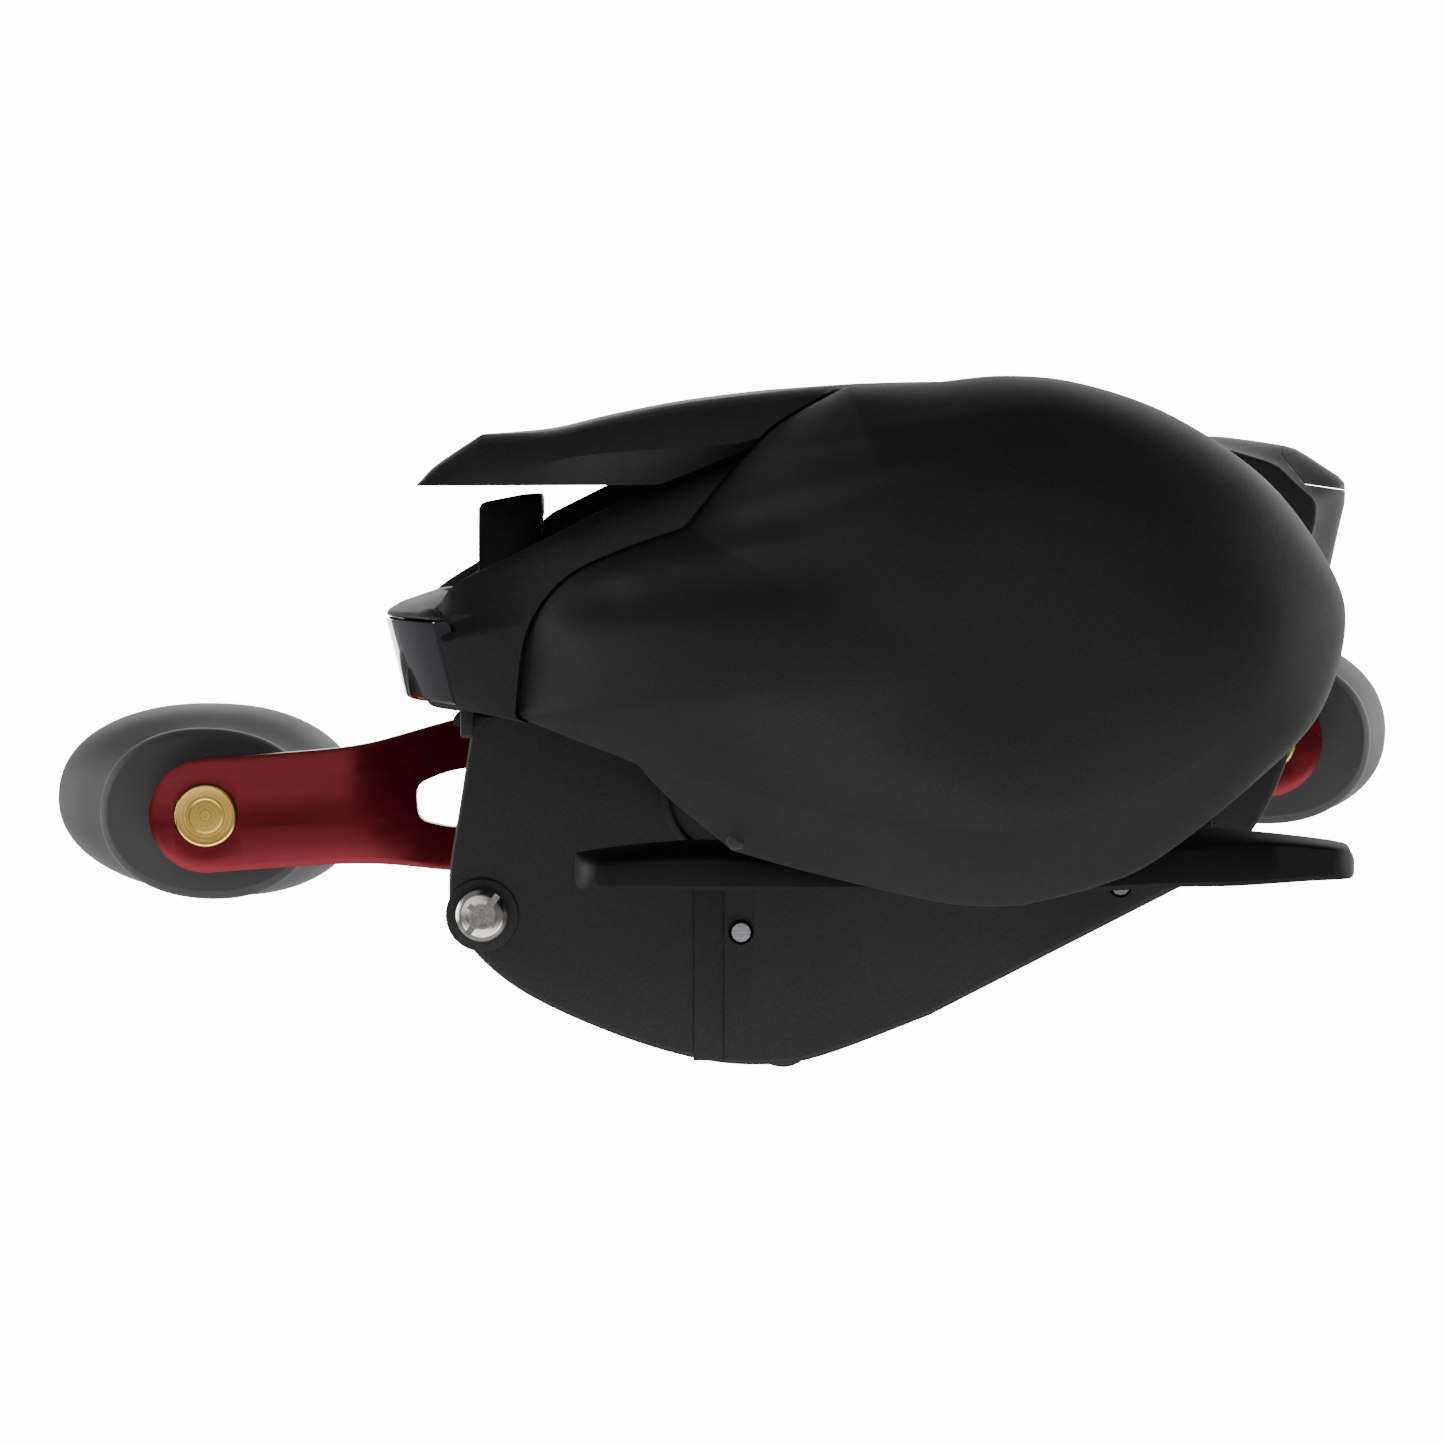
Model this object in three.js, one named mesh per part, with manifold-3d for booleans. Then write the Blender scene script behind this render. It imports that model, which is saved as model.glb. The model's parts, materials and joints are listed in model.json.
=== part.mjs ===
// A low-profile baitcasting reel, right-hand retrieve, as an assembly of separate pieces.
// Millimetres. +X is towards the angler (the rod butt), -X is where the line leaves, +Y is the
// handle side, -Y the palm side and +Z is up. The origin is the middle of the flat strip under
// the reel foot. The gearbox hangs lower than the foot on the handle side.
import * as THREE from "three";
import { mergeVertices } from "three/addons/utils/BufferGeometryUtils.js";
import Module from "manifold-3d";

const wasm = await Module();
wasm.setup();

// ---------------------------------------------------------------- driving dimensions
const GAP = 0.3; // clearance between neighbouring pieces
const WALL = 1.3; // moulded cover thickness
const FAR = 200; // longer than the whole reel, for cutters

// gearing
const DRIVE_TEETH = 82;
const PINION_TEETH = 13;
const MAIN_MODULE = 0.42;
const IDLER_TEETH = 62;
const WORM_TEETH = 18;
const WORM_MODULE = 0.5;

// axes, all parallel to Y; the spool and worm axes follow from the gear centre distances
const driveAxis = { x: -16.9, z: 6.4 };
const spoolAxis = axisAbove(driveAxis, -1.4, (MAIN_MODULE * (DRIVE_TEETH + PINION_TEETH)) / 2);
const wormAxis = axisAbove(driveAxis, -33.3, (WORM_MODULE * (IDLER_TEETH + WORM_TEETH)) / 2);

// stations across the reel, from the palm side to the handle side
const PALM_TOP = -33; // crown of the palm cover
const PALM_RIM = -17; // where the palm cover meets the frame
const LEFT_PLATE = [-16.7, -13.4]; // palm-side plate of the frame
const RIGHT_PLATE = [12.2, 14.4]; // handle-side plate of the frame
const GEAR_PLATE = [14.8, 16.8]; // inner wall of the gearbox
const GEAR_RIM = GEAR_PLATE[1] + GAP; // where the gear cover starts
const GEAR_TOP = 26.2; // outer face of the gear cover
const BOSS_TOP = 30.6; // outer face of its drive shaft boss

// spool and line
const SPOOL_RADIUS = 16;
const SPOOL_HALF = 11.2;
const SPOOL_SHAFT_RADIUS = 1.5;
const SPOOL_CLEARANCE = SPOOL_RADIUS + 0.35;

// strokes
const CLUTCH_STROKE = 2.2; // thumb bar and clutch cam, downwards

// handle
const HANDLE_HALF = 41.3; // hub to knob axis
const HANDLE_TILT = THREE.MathUtils.degToRad(4.1); // rear knob up
const KNOB_TILT = THREE.MathUtils.degToRad(7); // paddle long axis to the arm, rear end down
const ARM_END = [35.2, 37.4]; // depth of the arm at a knob
const ARM_HUB = [39.2, 41.4]; // depth of the arm at the hub
const RETAINER_SCREW = 8.2; // its distance from the hub
const KNOB_DEPTH = [38, 60.5];
const STAR_DEPTH = [31.8, 34];
const STAR_REACH = 22.8;
const STAR_ARMS = 5;

// colours
const BLACK = { color: 0x1c1c1d, roughness: 0.6, metalness: 0.1 };
const GLOSS_BLACK = { color: 0x0c0c0e, roughness: 0.12, metalness: 0.2 };
const RED = { color: 0x8c1218, roughness: 0.32, metalness: 0.85 };
const BRASS = { color: 0xc9a35a, roughness: 0.3, metalness: 0.95 };
const STEEL = { color: 0xb9bcc0, roughness: 0.28, metalness: 0.95 };
const DARK_ALLOY = { color: 0x34363a, roughness: 0.4, metalness: 0.8 };
const RUBBER = { color: 0x2a2a2a, roughness: 0.85, metalness: 0 };
const CARBON = { color: 0x242424, roughness: 0.75, metalness: 0 };
const CERAMIC = { color: 0x3a3a40, roughness: 0.15, metalness: 0 };

// the axis at a given x, a centre distance away from another axis and above it
function axisAbove(from, x, distance) {
  return { x, z: from.z + Math.sqrt(distance ** 2 - (x - from.x) ** 2) };
}

// ---------------------------------------------------------------- solids
// a closed solid of a geometry, with its faces turned outwards
function solid(geometry) {
  const bare = geometry.clone();
  bare.deleteAttribute("normal");
  bare.deleteAttribute("uv");
  const merged = mergeVertices(bare, 1e-4);
  const place = merged.attributes.position.array;
  const corners = [];
  const index = merged.index.array;
  for (let i = 0; i < index.length; i += 3) {
    const [a, b, c] = [index[i], index[i + 1], index[i + 2]];
    if (a !== b && b !== c && c !== a) corners.push(a, b, c);
  }
  if (volumeOf(place, corners) < 0) corners.reverse();
  return new wasm.Manifold(
    new wasm.Mesh({
      numProp: 3,
      vertProperties: Float32Array.from(place),
      triVerts: Uint32Array.from(corners),
    }),
  );
}

function volumeOf(place, corners) {
  const at = (i) => new THREE.Vector3().fromArray(place, 3 * i);
  let volume = 0;
  for (let i = 0; i < corners.length; i += 3) {
    volume += at(corners[i]).dot(at(corners[i + 1]).cross(at(corners[i + 2]))) / 6;
  }
  return volume;
}

// a solid of revolution about the Y axis; points are [radius, y]
function turned(points, segments = 18) {
  const profile = points.map(([r, y]) => new THREE.Vector2(r, y));
  if (points[0][0] > 0) profile.push(profile[0].clone());
  return solid(new THREE.LatheGeometry(profile, segments));
}

function disc(radius, y0, y1, segments = 18) {
  return turned([[0, y0], [radius, y0], [radius, y1], [0, y1]], segments);
}

function ring(inner, outer, y0, y1, segments = 18) {
  return turned([[inner, y0], [outer, y0], [outer, y1], [inner, y1]], segments);
}

function block(x, y, z) {
  const size = [x, y, z].map(([low, high]) => high - low);
  const middle = [x, y, z].map(([low, high]) => (high + low) / 2);
  return solid(new THREE.BoxGeometry(...size).translate(...middle));
}

// an outline in X and Z, given as a THREE.Shape, stretched across the reel from y0 to y1
function plate(shape, [y0, y1], curveSegments = 6) {
  const geometry = new THREE.ExtrudeGeometry(shape, { depth: y1 - y0, bevelEnabled: false, curveSegments });
  return solid(geometry.rotateX(Math.PI / 2).translate(0, y1, 0));
}

// an outline in X and Y stretched upwards from z0 to z1, with its foot shifted by lean in X
function upright(shape, [z0, z1], lean = 0) {
  const geometry = new THREE.ExtrudeGeometry(shape, { depth: z1 - z0, bevelEnabled: false, curveSegments: 6 });
  const place = geometry.attributes.position;
  for (let i = 0; i < place.count; i += 1) {
    const rise = place.getZ(i) / (z1 - z0);
    place.setX(i, place.getX(i) + lean * (1 - rise));
  }
  return solid(geometry.translate(0, 0, z0));
}

function at(piece, x, z, y = 0) {
  return piece.translate([x, y, z]);
}

function rodAlongX(radius, x, y, z, segments = 18) {
  return solid(
    new THREE.CylinderGeometry(radius, radius, x[1] - x[0], segments)
      .rotateZ(Math.PI / 2)
      .translate((x[0] + x[1]) / 2, y, z),
  );
}

function rodAlongZ(radius, x, y, z, segments = 16) {
  return solid(
    new THREE.CylinderGeometry(radius, radius, z[1] - z[0], segments)
      .rotateX(Math.PI / 2)
      .translate(x, y, (z[0] + z[1]) / 2),
  );
}

// ---------------------------------------------------------------- outlines
function polygon(points) {
  return new THREE.Shape(points.map(([x, z]) => new THREE.Vector2(x, z)));
}

// a closed shape from stretches: each is a list of points that one smooth curve runs through
function smoothShape(start, stretches) {
  const shape = new THREE.Shape().moveTo(...start);
  for (const points of stretches) {
    if (points.length === 1) shape.lineTo(...points[0]);
    else shape.splineThru(points.map(([x, z]) => new THREE.Vector2(x, z)));
  }
  return shape;
}

// the palm cover seen from the side: front seam, hood seam, back, belly, lower front
const palmShape = smoothShape([-32.5, 13.1], [
  [[-31.7, 19.1], [-29.1, 22.9], [-25, 25], [-20.5, 26.55]],
  [[-16.1, 31.8], [-13.5, 34.2], [-9, 36.7]],
  [[-3.3, 36.95], [2.1, 37.45], [7.6, 36.9], [14.3, 34.5], [21.1, 29.75], [25.6, 23.4], [26.4, 19],
    [24.5, 13.2], [19.9, 8.4], [13.3, 3.1], [9, 1.1], [3.3, -0.35]],
  [[-1, -0.3], [-5.3, 0.5], [-12.7, 2.3], [-17.2, 3.6]],
  [[-21.6, 7.2], [-24.05, 9.8]],
  [[-32.5, 13.1]],
]);
const palmCentre = { x: -2, z: 17 };

// the gearbox seen from the side: deep belly under the foot, rear, top and nose
const gearShape = smoothShape([-36.6, 12.2], [
  [[-37.6, 5.7], [-38.5, -0.5], [-37.7, -4.3], [-33.5, -8.1], [-26.6, -11.7], [-19.5, -14.1],
    [-14, -14.5], [-9.9, -13.6], [-2.3, -10.75]],
  [[17, -0.8]],
  [[21.9, 3.2], [25.2, 9.8], [27.3, 16], [28.3, 22.75], [29.4, 28.5]],
  [[29.1, 29.9], [27.2, 31.3], [20.2, 32.9]],
  [[8, 33.2], [-6, 32.8], [-18, 30], [-28, 26.8], [-36, 23.8]],
  [[-40.2, 20.6], [-40.4, 15.5], [-38.6, 12.8]],
  [[-36.6, 12.2]],
]);
const gearCentre = { x: -6, z: 9 };

// how far an outline reaches from a centre in each direction
function reachOf(shape, centre) {
  const points = shape.getPoints(10);
  return (angle) => {
    const [ux, uz] = [Math.cos(angle), Math.sin(angle)];
    let reach = 0;
    points.forEach((p, i) => {
      const q = points[(i + 1) % points.length];
      const [px, pz] = [p.x - centre.x, p.y - centre.z];
      const [dx, dz] = [q.x - p.x, q.y - p.y];
      const cross = ux * dz - uz * dx;
      if (Math.abs(cross) < 1e-9) return;
      const along = (px * dz - pz * dx) / cross;
      const share = (px * uz - pz * ux) / cross;
      if (along > 0 && share >= -1e-9 && share <= 1 + 1e-9) reach = Math.max(reach, along);
    });
    return reach;
  };
}

// a turned profile of [share of the reach, y] whose radius follows an outline, moved in by inset
function domed(shape, centre, points, inset = 0, segments = 48) {
  const reach = reachOf(shape, centre);
  const profile = points.map(([share, y]) => new THREE.Vector2(share, y));
  const geometry = new THREE.LatheGeometry(profile, segments);
  const place = geometry.attributes.position;
  for (let i = 0; i < place.count; i += 1) {
    const [ux, uz] = [place.getX(i), place.getZ(i)];
    const span = reach(Math.atan2(uz, ux)) - inset;
    place.setX(i, centre.x + ux * span);
    place.setZ(i, centre.z + uz * span);
  }
  return solid(geometry);
}

// a flat prism of an outline, moved in by inset (or out, when it is negative)
function prism(shape, centre, [y0, y1], inset = 0) {
  return domed(shape, centre, [[0, y0], [1, y0], [1, y1], [0, y1]], inset);
}

// ---------------------------------------------------------------- gears
// a toothed outline; a tooth is centred on the direction given by phase
function toothedShape(teeth, module, phase) {
  const pitch = (teeth * module) / 2;
  const slim = 0.78; // share of the nominal tooth thickness, for backlash
  const tipHalf = (0.36 * slim * Math.PI) / teeth;
  const rootHalf = (0.72 * slim * Math.PI) / teeth;
  const points = [];
  for (let i = 0; i < teeth; i += 1) {
    const middle = phase + (2 * Math.PI * i) / teeth;
    for (const [radius, angle] of [
      [pitch - 1.1 * module, middle - rootHalf],
      [pitch + 0.75 * module, middle - tipHalf],
      [pitch + 0.75 * module, middle + tipHalf],
      [pitch - 1.1 * module, middle + rootHalf],
    ]) {
      points.push([radius * Math.cos(angle), radius * Math.sin(angle)]);
    }
  }
  return polygon(points);
}

const directionTo = (from, to) => Math.atan2(to.z - from.z, to.x - from.x);
const driveToSpool = directionTo(driveAxis, spoolAxis);
const driveToWorm = directionTo(driveAxis, wormAxis);

function makeDriveGear() {
  const teeth = plate(toothedShape(DRIVE_TEETH, MAIN_MODULE, driveToSpool + Math.PI / DRIVE_TEETH), [20.6, 23.4]);
  return teeth.subtract(disc(13, 22.2, 24, 32)).subtract(disc(3.2, 20, 24));
}

function makePinion() {
  const teeth = plate(toothedShape(PINION_TEETH, MAIN_MODULE, driveToSpool + Math.PI), [20, 24.2]);
  const collar = turned([[0, 16.6], [3, 16.6], [3, 18.3], [1.95, 18.3], [1.95, 20.1], [0, 20.1]]);
  const pinSlot = block([-0.8, 0.8], [16, 17.7], [-4, 4]);
  return teeth.add(collar).subtract(disc(SPOOL_SHAFT_RADIUS + 0.2, 16, 25, 20)).subtract(pinSlot);
}

function makeIdlerGear() {
  const teeth = plate(toothedShape(IDLER_TEETH, WORM_MODULE, driveToWorm + Math.PI / IDLER_TEETH), [17.2, 18.6]);
  return teeth.subtract(disc(3.2, 17, 19));
}

function makeWormGear() {
  const teeth = plate(toothedShape(WORM_TEETH, WORM_MODULE, driveToWorm + Math.PI), [17.2, 18.6]);
  return teeth.subtract(disc(2.1, 17, 19, 20));
}

// a saw-toothed wheel
function makeRatchet() {
  const teeth = 16;
  const points = [];
  for (let i = 0; i < teeth; i += 1) {
    for (const [radius, share] of [[9, 0], [7.6, 0.12]]) {
      const angle = (2 * Math.PI * (i + share)) / teeth;
      points.push([radius * Math.cos(angle), radius * Math.sin(angle)]);
    }
  }
  return plate(polygon(points), [18.9, 19.7]).subtract(disc(3.2, 18, 20));
}

// ---------------------------------------------------------------- casings
const palmProfile = (top) => {
  const rise = PALM_RIM - top;
  return [[0, PALM_RIM], [1, PALM_RIM], [0.99, PALM_RIM - 0.25 * rise], [0.93, PALM_RIM - 0.55 * rise],
    [0.8, PALM_RIM - 0.8 * rise], [0.55, PALM_RIM - 0.95 * rise], [0.28, top + 0.1], [0, top]];
};

function makePalmCover() {
  const outer = domed(palmShape, palmCentre, palmProfile(PALM_TOP));
  const hollow = domed(palmShape, palmCentre, palmProfile(PALM_TOP + WALL), WALL);
  const leverNotch = block([-21.6, -14.6], [PALM_RIM - 2.4, PALM_RIM + 1], [0.5, 8.4]);
  return outer.subtract(hollow).subtract(leverNotch);
}

function makeReleaseLever() {
  const arm = plate(polygon([[-13.4, 5.6], [-16, 3.2], [-16.6, 2.2], [-17.9, 2.9], [-17.4, 4.2], [-14.8, 8.2]]),
    [PALM_RIM - 2.1, PALM_RIM - GAP]);
  return arm.add(at(disc(2.3, PALM_RIM - 2.1, PALM_RIM - GAP), leverPivot.x, leverPivot.z));
}
const leverPivot = { x: -12.9, z: 7.4 };

function makeBrakeCase() {
  return turned([[0, -19.6], [5.3, -19.6], [5.3, -16.4], [SPOOL_CLEARANCE - 0.1, -16.4],
    [SPOOL_CLEARANCE - 0.1, -15.4], [4.1, -15.4], [4.1, -19.1], [0, -19.1]], 36);
}

// the one-piece frame: two side plates, floor under the spool, foot, front bar and rear bar
function makeFrame() {
  const plateInset = 2.3;
  const across = [LEFT_PLATE[1] - 0.1, RIGHT_PLATE[0] + 0.1];
  const behindNose = block([-29.2, FAR], [-FAR, FAR], [-FAR, FAR]);
  const sides = [LEFT_PLATE, RIGHT_PLATE].map((depth) =>
    prism(palmShape, palmCentre, depth, plateInset).intersect(behindNose),
  );
  const spoolRoom = at(disc(SPOOL_CLEARANCE + 0.1, LEFT_PLATE[0] - 1, RIGHT_PLATE[0], 40), spoolAxis.x, spoolAxis.z);
  const floorSector = polygon([[0, 0], [-14, -20], [14, -20]]);
  const floor = at(
    ring(SPOOL_CLEARANCE, SPOOL_CLEARANCE + 1.6, ...across, 48).intersect(plate(floorSector, across)),
    spoolAxis.x,
    spoolAxis.z,
  );
  const frontBar = block([-28.2, -26], across, [14.6, 20.2]);
  const rearBar = block([17.4, 20.6], across, [10.6, 14.6]);
  const shaftHole = at(disc(3.4, 10, 16), spoolAxis.x, spoolAxis.z);
  const driveBossRoom = at(disc(6, 10, 16), driveAxis.x, driveAxis.z);
  const tangSlot = block([19.3, 22.9], [10, 16], [spoolAxis.z - 2, spoolAxis.z + 5]);
  return sides[0].add(sides[1]).add(floor).add(makeFoot()).add(frontBar).add(rearBar)
    .subtract(spoolRoom).subtract(shaftHole).subtract(driveBossRoom).subtract(tangSlot);
}

// the reel foot: side profile cut to a plan with rounded toes
const FOOT = { front: -28.7, rear: 28.5, half: 6.4, toeHalf: 4.6 };
function makeFoot() {
  const profile = polygon([[FOOT.front, 1.2], [-27.6, 0], [20, 0], [FOOT.rear, 0.9], [28.45, 1.8], [27, 3],
    [20.8, 3.95], [14, 4.4], [9, 3], [-10, 2.6], [-19.5, 3.45], [-28.2, 2.5]]);
  const plan = new THREE.Shape()
    .moveTo(FOOT.front + 3, -FOOT.toeHalf)
    .quadraticCurveTo(FOOT.front - 0.4, -FOOT.toeHalf, FOOT.front - 0.4, 0)
    .quadraticCurveTo(FOOT.front - 0.4, FOOT.toeHalf, FOOT.front + 3, FOOT.toeHalf)
    .quadraticCurveTo(-14, FOOT.half, 0, FOOT.half)
    .quadraticCurveTo(14, FOOT.half, FOOT.rear - 3, FOOT.toeHalf)
    .quadraticCurveTo(FOOT.rear + 0.4, FOOT.toeHalf, FOOT.rear + 0.4, 0)
    .quadraticCurveTo(FOOT.rear + 0.4, -FOOT.toeHalf, FOOT.rear - 3, -FOOT.toeHalf)
    .quadraticCurveTo(14, -FOOT.half, 0, -FOOT.half)
    .quadraticCurveTo(-14, -FOOT.half, FOOT.front + 3, -FOOT.toeHalf);
  return plate(profile, [-FOOT.half - 1, FOOT.half + 1]).intersect(upright(plan, [-1, 6]));
}

// a bar bowed forwards in plan: x at its ends, x in its middle, thickness and half width
function bowedPlan(endX, middleX, thickness, half) {
  const control = 2 * middleX - endX;
  return new THREE.Shape()
    .moveTo(endX, -half)
    .quadraticCurveTo(control, 0, endX, half)
    .lineTo(endX + thickness, half)
    .quadraticCurveTo(control + thickness, 0, endX + thickness, -half);
}

const NOSE_LEAN = 1.5;
const makeNosePlate = (grow = 0) =>
  upright(bowedPlan(-38.6, -41.8, 1.2 + grow, 16.6 + grow), [14.2 - grow, 20.3 + grow], NOSE_LEAN)
    .intersect(block([-FAR, FAR], [-FAR, RIGHT_PLATE[1]], [0, FAR]));

// the front cover: a cheek on each side, the wall behind the nose plate and the level-wind floor
function makeFrontCover() {
  const cheek = polygon([[-38.2, 20.4], [-37.3, 22.3], [-35, 23.5], [-30.6, 25.6], [-25.8, 28.1], [-22, 29.3],
    [-16.6, 31.5], [-15, 29], [-24, 22], [-29.8, 18], [-29.8, 12.4], [-36.8, 13.7]]);
  const shaftCheek = polygon([[-37.6, 13.8], [-37.9, 20.4], [-29.8, 20.4], [-29.8, 13.8]]);
  const palmZone = prism(palmShape, palmCentre, [PALM_RIM - 4, LEFT_PLATE[1] + 1], -0.25);
  const handleZone = prism(palmShape, palmCentre, [RIGHT_PLATE[0] - 1, GEAR_PLATE[1]], 1.6);
  const nearCheek = plate(cheek, [PALM_RIM - 0.9, LEFT_PLATE[1]]).subtract(palmZone);
  const farCheek = plate(cheek, [RIGHT_PLATE[0], GEAR_PLATE[0] - GAP]).subtract(handleZone);
  const across = [LEFT_PLATE[1] - 0.2, RIGHT_PLATE[0] + 0.2];
  const wall = upright(bowedPlan(-38.3, -40.4, 1, across[1] + 1), [12.9, 20.8], NOSE_LEAN);
  const floor = block([-37.2, -30], across, [12.3, 12.95]);
  const pocket = at(disc(2.9, LEFT_PLATE[1] - 2.6, LEFT_PLATE[1] + 1), wormAxis.x, wormAxis.z);
  const passage = at(disc(2.9, RIGHT_PLATE[0] - 1, 16), wormAxis.x, wormAxis.z);
  return nearCheek.add(farCheek).add(plate(shaftCheek, LEFT_PLATE)).add(plate(shaftCheek, RIGHT_PLATE))
    .add(wall.intersect(block([-FAR, 0], across, [0, FAR]))).add(floor)
    .subtract(makeNosePlate(GAP)).subtract(pocket).subtract(passage);
}

// the hood over the line exit: a roof with a skirt on each side and a thumb cut-out behind
function makeHood() {
  const side = smoothShape([-39.2, 29.65], [
    [[-34.9, 33.2]],
    [[-29.7, 33.5], [-25.4, 34.6], [-19.3, 35.7], [-9, 36.7]],
    [[-16.1, 32.3]],
    [[-22.4, 29.65]],
  ]);
  const under = smoothShape([-41, 26], [
    [[-37, 29.9], [-34.2, 31.7]],
    [[-29.7, 32], [-25.4, 33.1], [-19.3, 34.2], [-9, 35.2]],
    [[0, 26]],
  ]);
  const palmZone = prism(palmShape, palmCentre, [-FAR / 2, -14.9], -0.25);
  const thumbCut = rodAlongZ(13.2, -1.5, -1, [20, 40], 32);
  return plate(side, [PALM_RIM, 15.4])
    .subtract(plate(under, [PALM_RIM + 1.8, 13.8]))
    .subtract(palmZone)
    .subtract(thumbCut);
}

// ---------------------------------------------------------------- gearbox
const sideScrew = { x: -36, z: -3 };
const dowels = [["dowel_pin_front", { x: -16.5, z: -4.3 }], ["dowel_pin_rear", { x: 12.05, z: -0.75 }]];
// the yoke posts stand either side of the spool axis, square to the line of gear centres
const POST_SPREAD = 8.5;
const posts = [1, -1].map((way) => ({
  x: spoolAxis.x - way * POST_SPREAD * Math.sin(driveToSpool),
  z: spoolAxis.z + way * POST_SPREAD * Math.cos(driveToSpool),
}));

function makeGearPlate() {
  let piece = prism(gearShape, gearCentre, GEAR_PLATE);
  piece = piece.add(at(disc(5.65, 13.1, 15), driveAxis.x, driveAxis.z));
  for (const post of posts) piece = piece.add(at(disc(1, 16.5, 23.5, 14), post.x, post.z));
  piece = piece.subtract(at(disc(4.4, 13.8, 18), driveAxis.x, driveAxis.z));
  piece = piece.subtract(at(disc(4.8, 14, 18), spoolAxis.x, spoolAxis.z));
  piece = piece.subtract(at(disc(2.9, 14, 18), wormAxis.x, wormAxis.z));
  piece = piece.subtract(at(disc(1.3, 14, 18, 14), sideScrew.x, sideScrew.z));
  for (const [, dowel] of dowels) piece = piece.subtract(at(disc(0.95, 14, 18, 12), dowel.x, dowel.z));
  const tangSlot = block([19.3, 22.9], [14, 18], [spoolAxis.z - 1.6, spoolAxis.z + 4.8]);
  return piece.subtract(tangSlot);
}

const GEAR_OUTER = [[0, GEAR_RIM], [1, GEAR_RIM], [1, 22.8], [0.985, 24.6], [0.95, 25.7], [0.88, GEAR_TOP],
  [0, GEAR_TOP]];
const GEAR_INNER = [[0, GEAR_RIM - 1], [1, GEAR_RIM - 1], [1, 23.7], [0.96, GEAR_TOP - 1.5], [0, GEAR_TOP - 1.5]];
const makeGearShell = () => domed(gearShape, gearCentre, GEAR_OUTER);
const makeGearHollow = () => domed(gearShape, gearCentre, GEAR_INNER, WALL - 0.2);
const capZone = (grow) =>
  plate(polygon([[24.6 - grow, 40], [24.6 - grow, 31.4], [26.2 - grow, 29.4 - grow], [40, 27.4 - grow], [40, 40]]),
    [0, 40]);

function makeGearCover() {
  const driveBoss = at(turned([[0, 25], [10.2, 25], [9.2, 29.6], [8.8, BOSS_TOP], [0, BOSS_TOP]], 32),
    driveAxis.x, driveAxis.z);
  const spoolBoss = at(disc(4.6, 25, 29), spoolAxis.x, spoolAxis.z);
  const screwBoss = at(disc(2.2, GEAR_RIM, 25, 16), sideScrew.x, sideScrew.z);
  return makeGearShell().subtract(makeGearHollow()).add(driveBoss).add(spoolBoss).add(screwBoss)
    .subtract(at(disc(7.8, 24, 32, 28), driveAxis.x, driveAxis.z))
    .subtract(at(disc(3.6, 24, 32), spoolAxis.x, spoolAxis.z))
    .subtract(at(disc(1.3, 16, 23, 14), sideScrew.x, sideScrew.z))
    .subtract(capZone(GAP));
}

const makeGearCap = () => makeGearShell().intersect(capZone(0)).subtract(makeGearHollow());

function makeYoke() {
  const along = new THREE.Vector2(-Math.sin(driveToSpool), Math.cos(driveToSpool));
  const across = new THREE.Vector2(-along.y, along.x);
  const corner = (u, v) => [along.x * u + across.x * v, along.y * u + across.y * v];
  const bar = polygon([corner(-11, -2.4), corner(11, -2.4), corner(11, 2.4), corner(4, 3.4), corner(-4, 3.4),
    corner(-11, 2.4)]);
  const gearRoom = disc((DRIVE_TEETH * MAIN_MODULE) / 2 + 0.75, 18, 20, 64);
  let yoke = plate(bar, [18.45, 19.85]).subtract(disc(2.2, 18, 20));
  for (const post of posts) {
    yoke = yoke.subtract(at(disc(1.25, 18, 20, 14), post.x - spoolAxis.x, post.z - spoolAxis.z));
  }
  return yoke.subtract(at(gearRoom, driveAxis.x - spoolAxis.x, driveAxis.z - spoolAxis.z));
}

function makeClutchCam() {
  const arm = plate(polygon([[3, 1], [16, 1], [19.6, 0], [24, 0], [24, 4], [3, 4]]), [17.2, 18.1]);
  const slot = disc(3.5, 17, 19).add(at(disc(3.5, 17, 19), 0, CLUTCH_STROKE))
    .add(block([-3.5, 3.5], [17, 19], [0, CLUTCH_STROKE]));
  const idlerRoom = disc(18.4, 17, 19, 64);
  return disc(5.8, 17.2, 18.1, 28).add(arm).subtract(slot)
    .subtract(at(idlerRoom, driveAxis.x - spoolAxis.x, driveAxis.z - spoolAxis.z));
}

// the thumb bar behind the spool, with a tang that reaches the clutch cam
function makeThumbBar() {
  const section = smoothShape([17.2, 23.2], [
    [[18.2, 26.2], [20.6, 26.9], [24.2, 24.2]],
    [[23.4, 21.4]],
    [[18.6, 21.4]],
  ]);
  const bar = plate(section, [LEFT_PLATE[1] + 0.5, RIGHT_PLATE[0] - 0.5]);
  const tang = block([19.8, 22.4], [RIGHT_PLATE[0] - 1, 16.9], [spoolAxis.z + 1.2, spoolAxis.z + 4.3]);
  return bar.add(tang);
}

// ---------------------------------------------------------------- spool and level wind
function makeSpool() {
  const half = SPOOL_HALF;
  const rim = SPOOL_RADIUS;
  const edge = [[rim, half - 1], [rim, half], [rim - 1.2, half], [9.2, half - 1.6], [8, half - 3]];
  const mirrored = edge.map(([r, y]) => [r, -y]).reverse();
  return turned([[9.3, -7.6], [9.3, 7.6], [10.4, 9], ...edge, [8, 1.2], [3.2, 1.2], [3.2, 5], [1.7, 5], [1.7, -5],
    [3.2, -5], [3.2, -1.2], [8, -1.2], ...mirrored, [10.4, -9]], 30);
}

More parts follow.
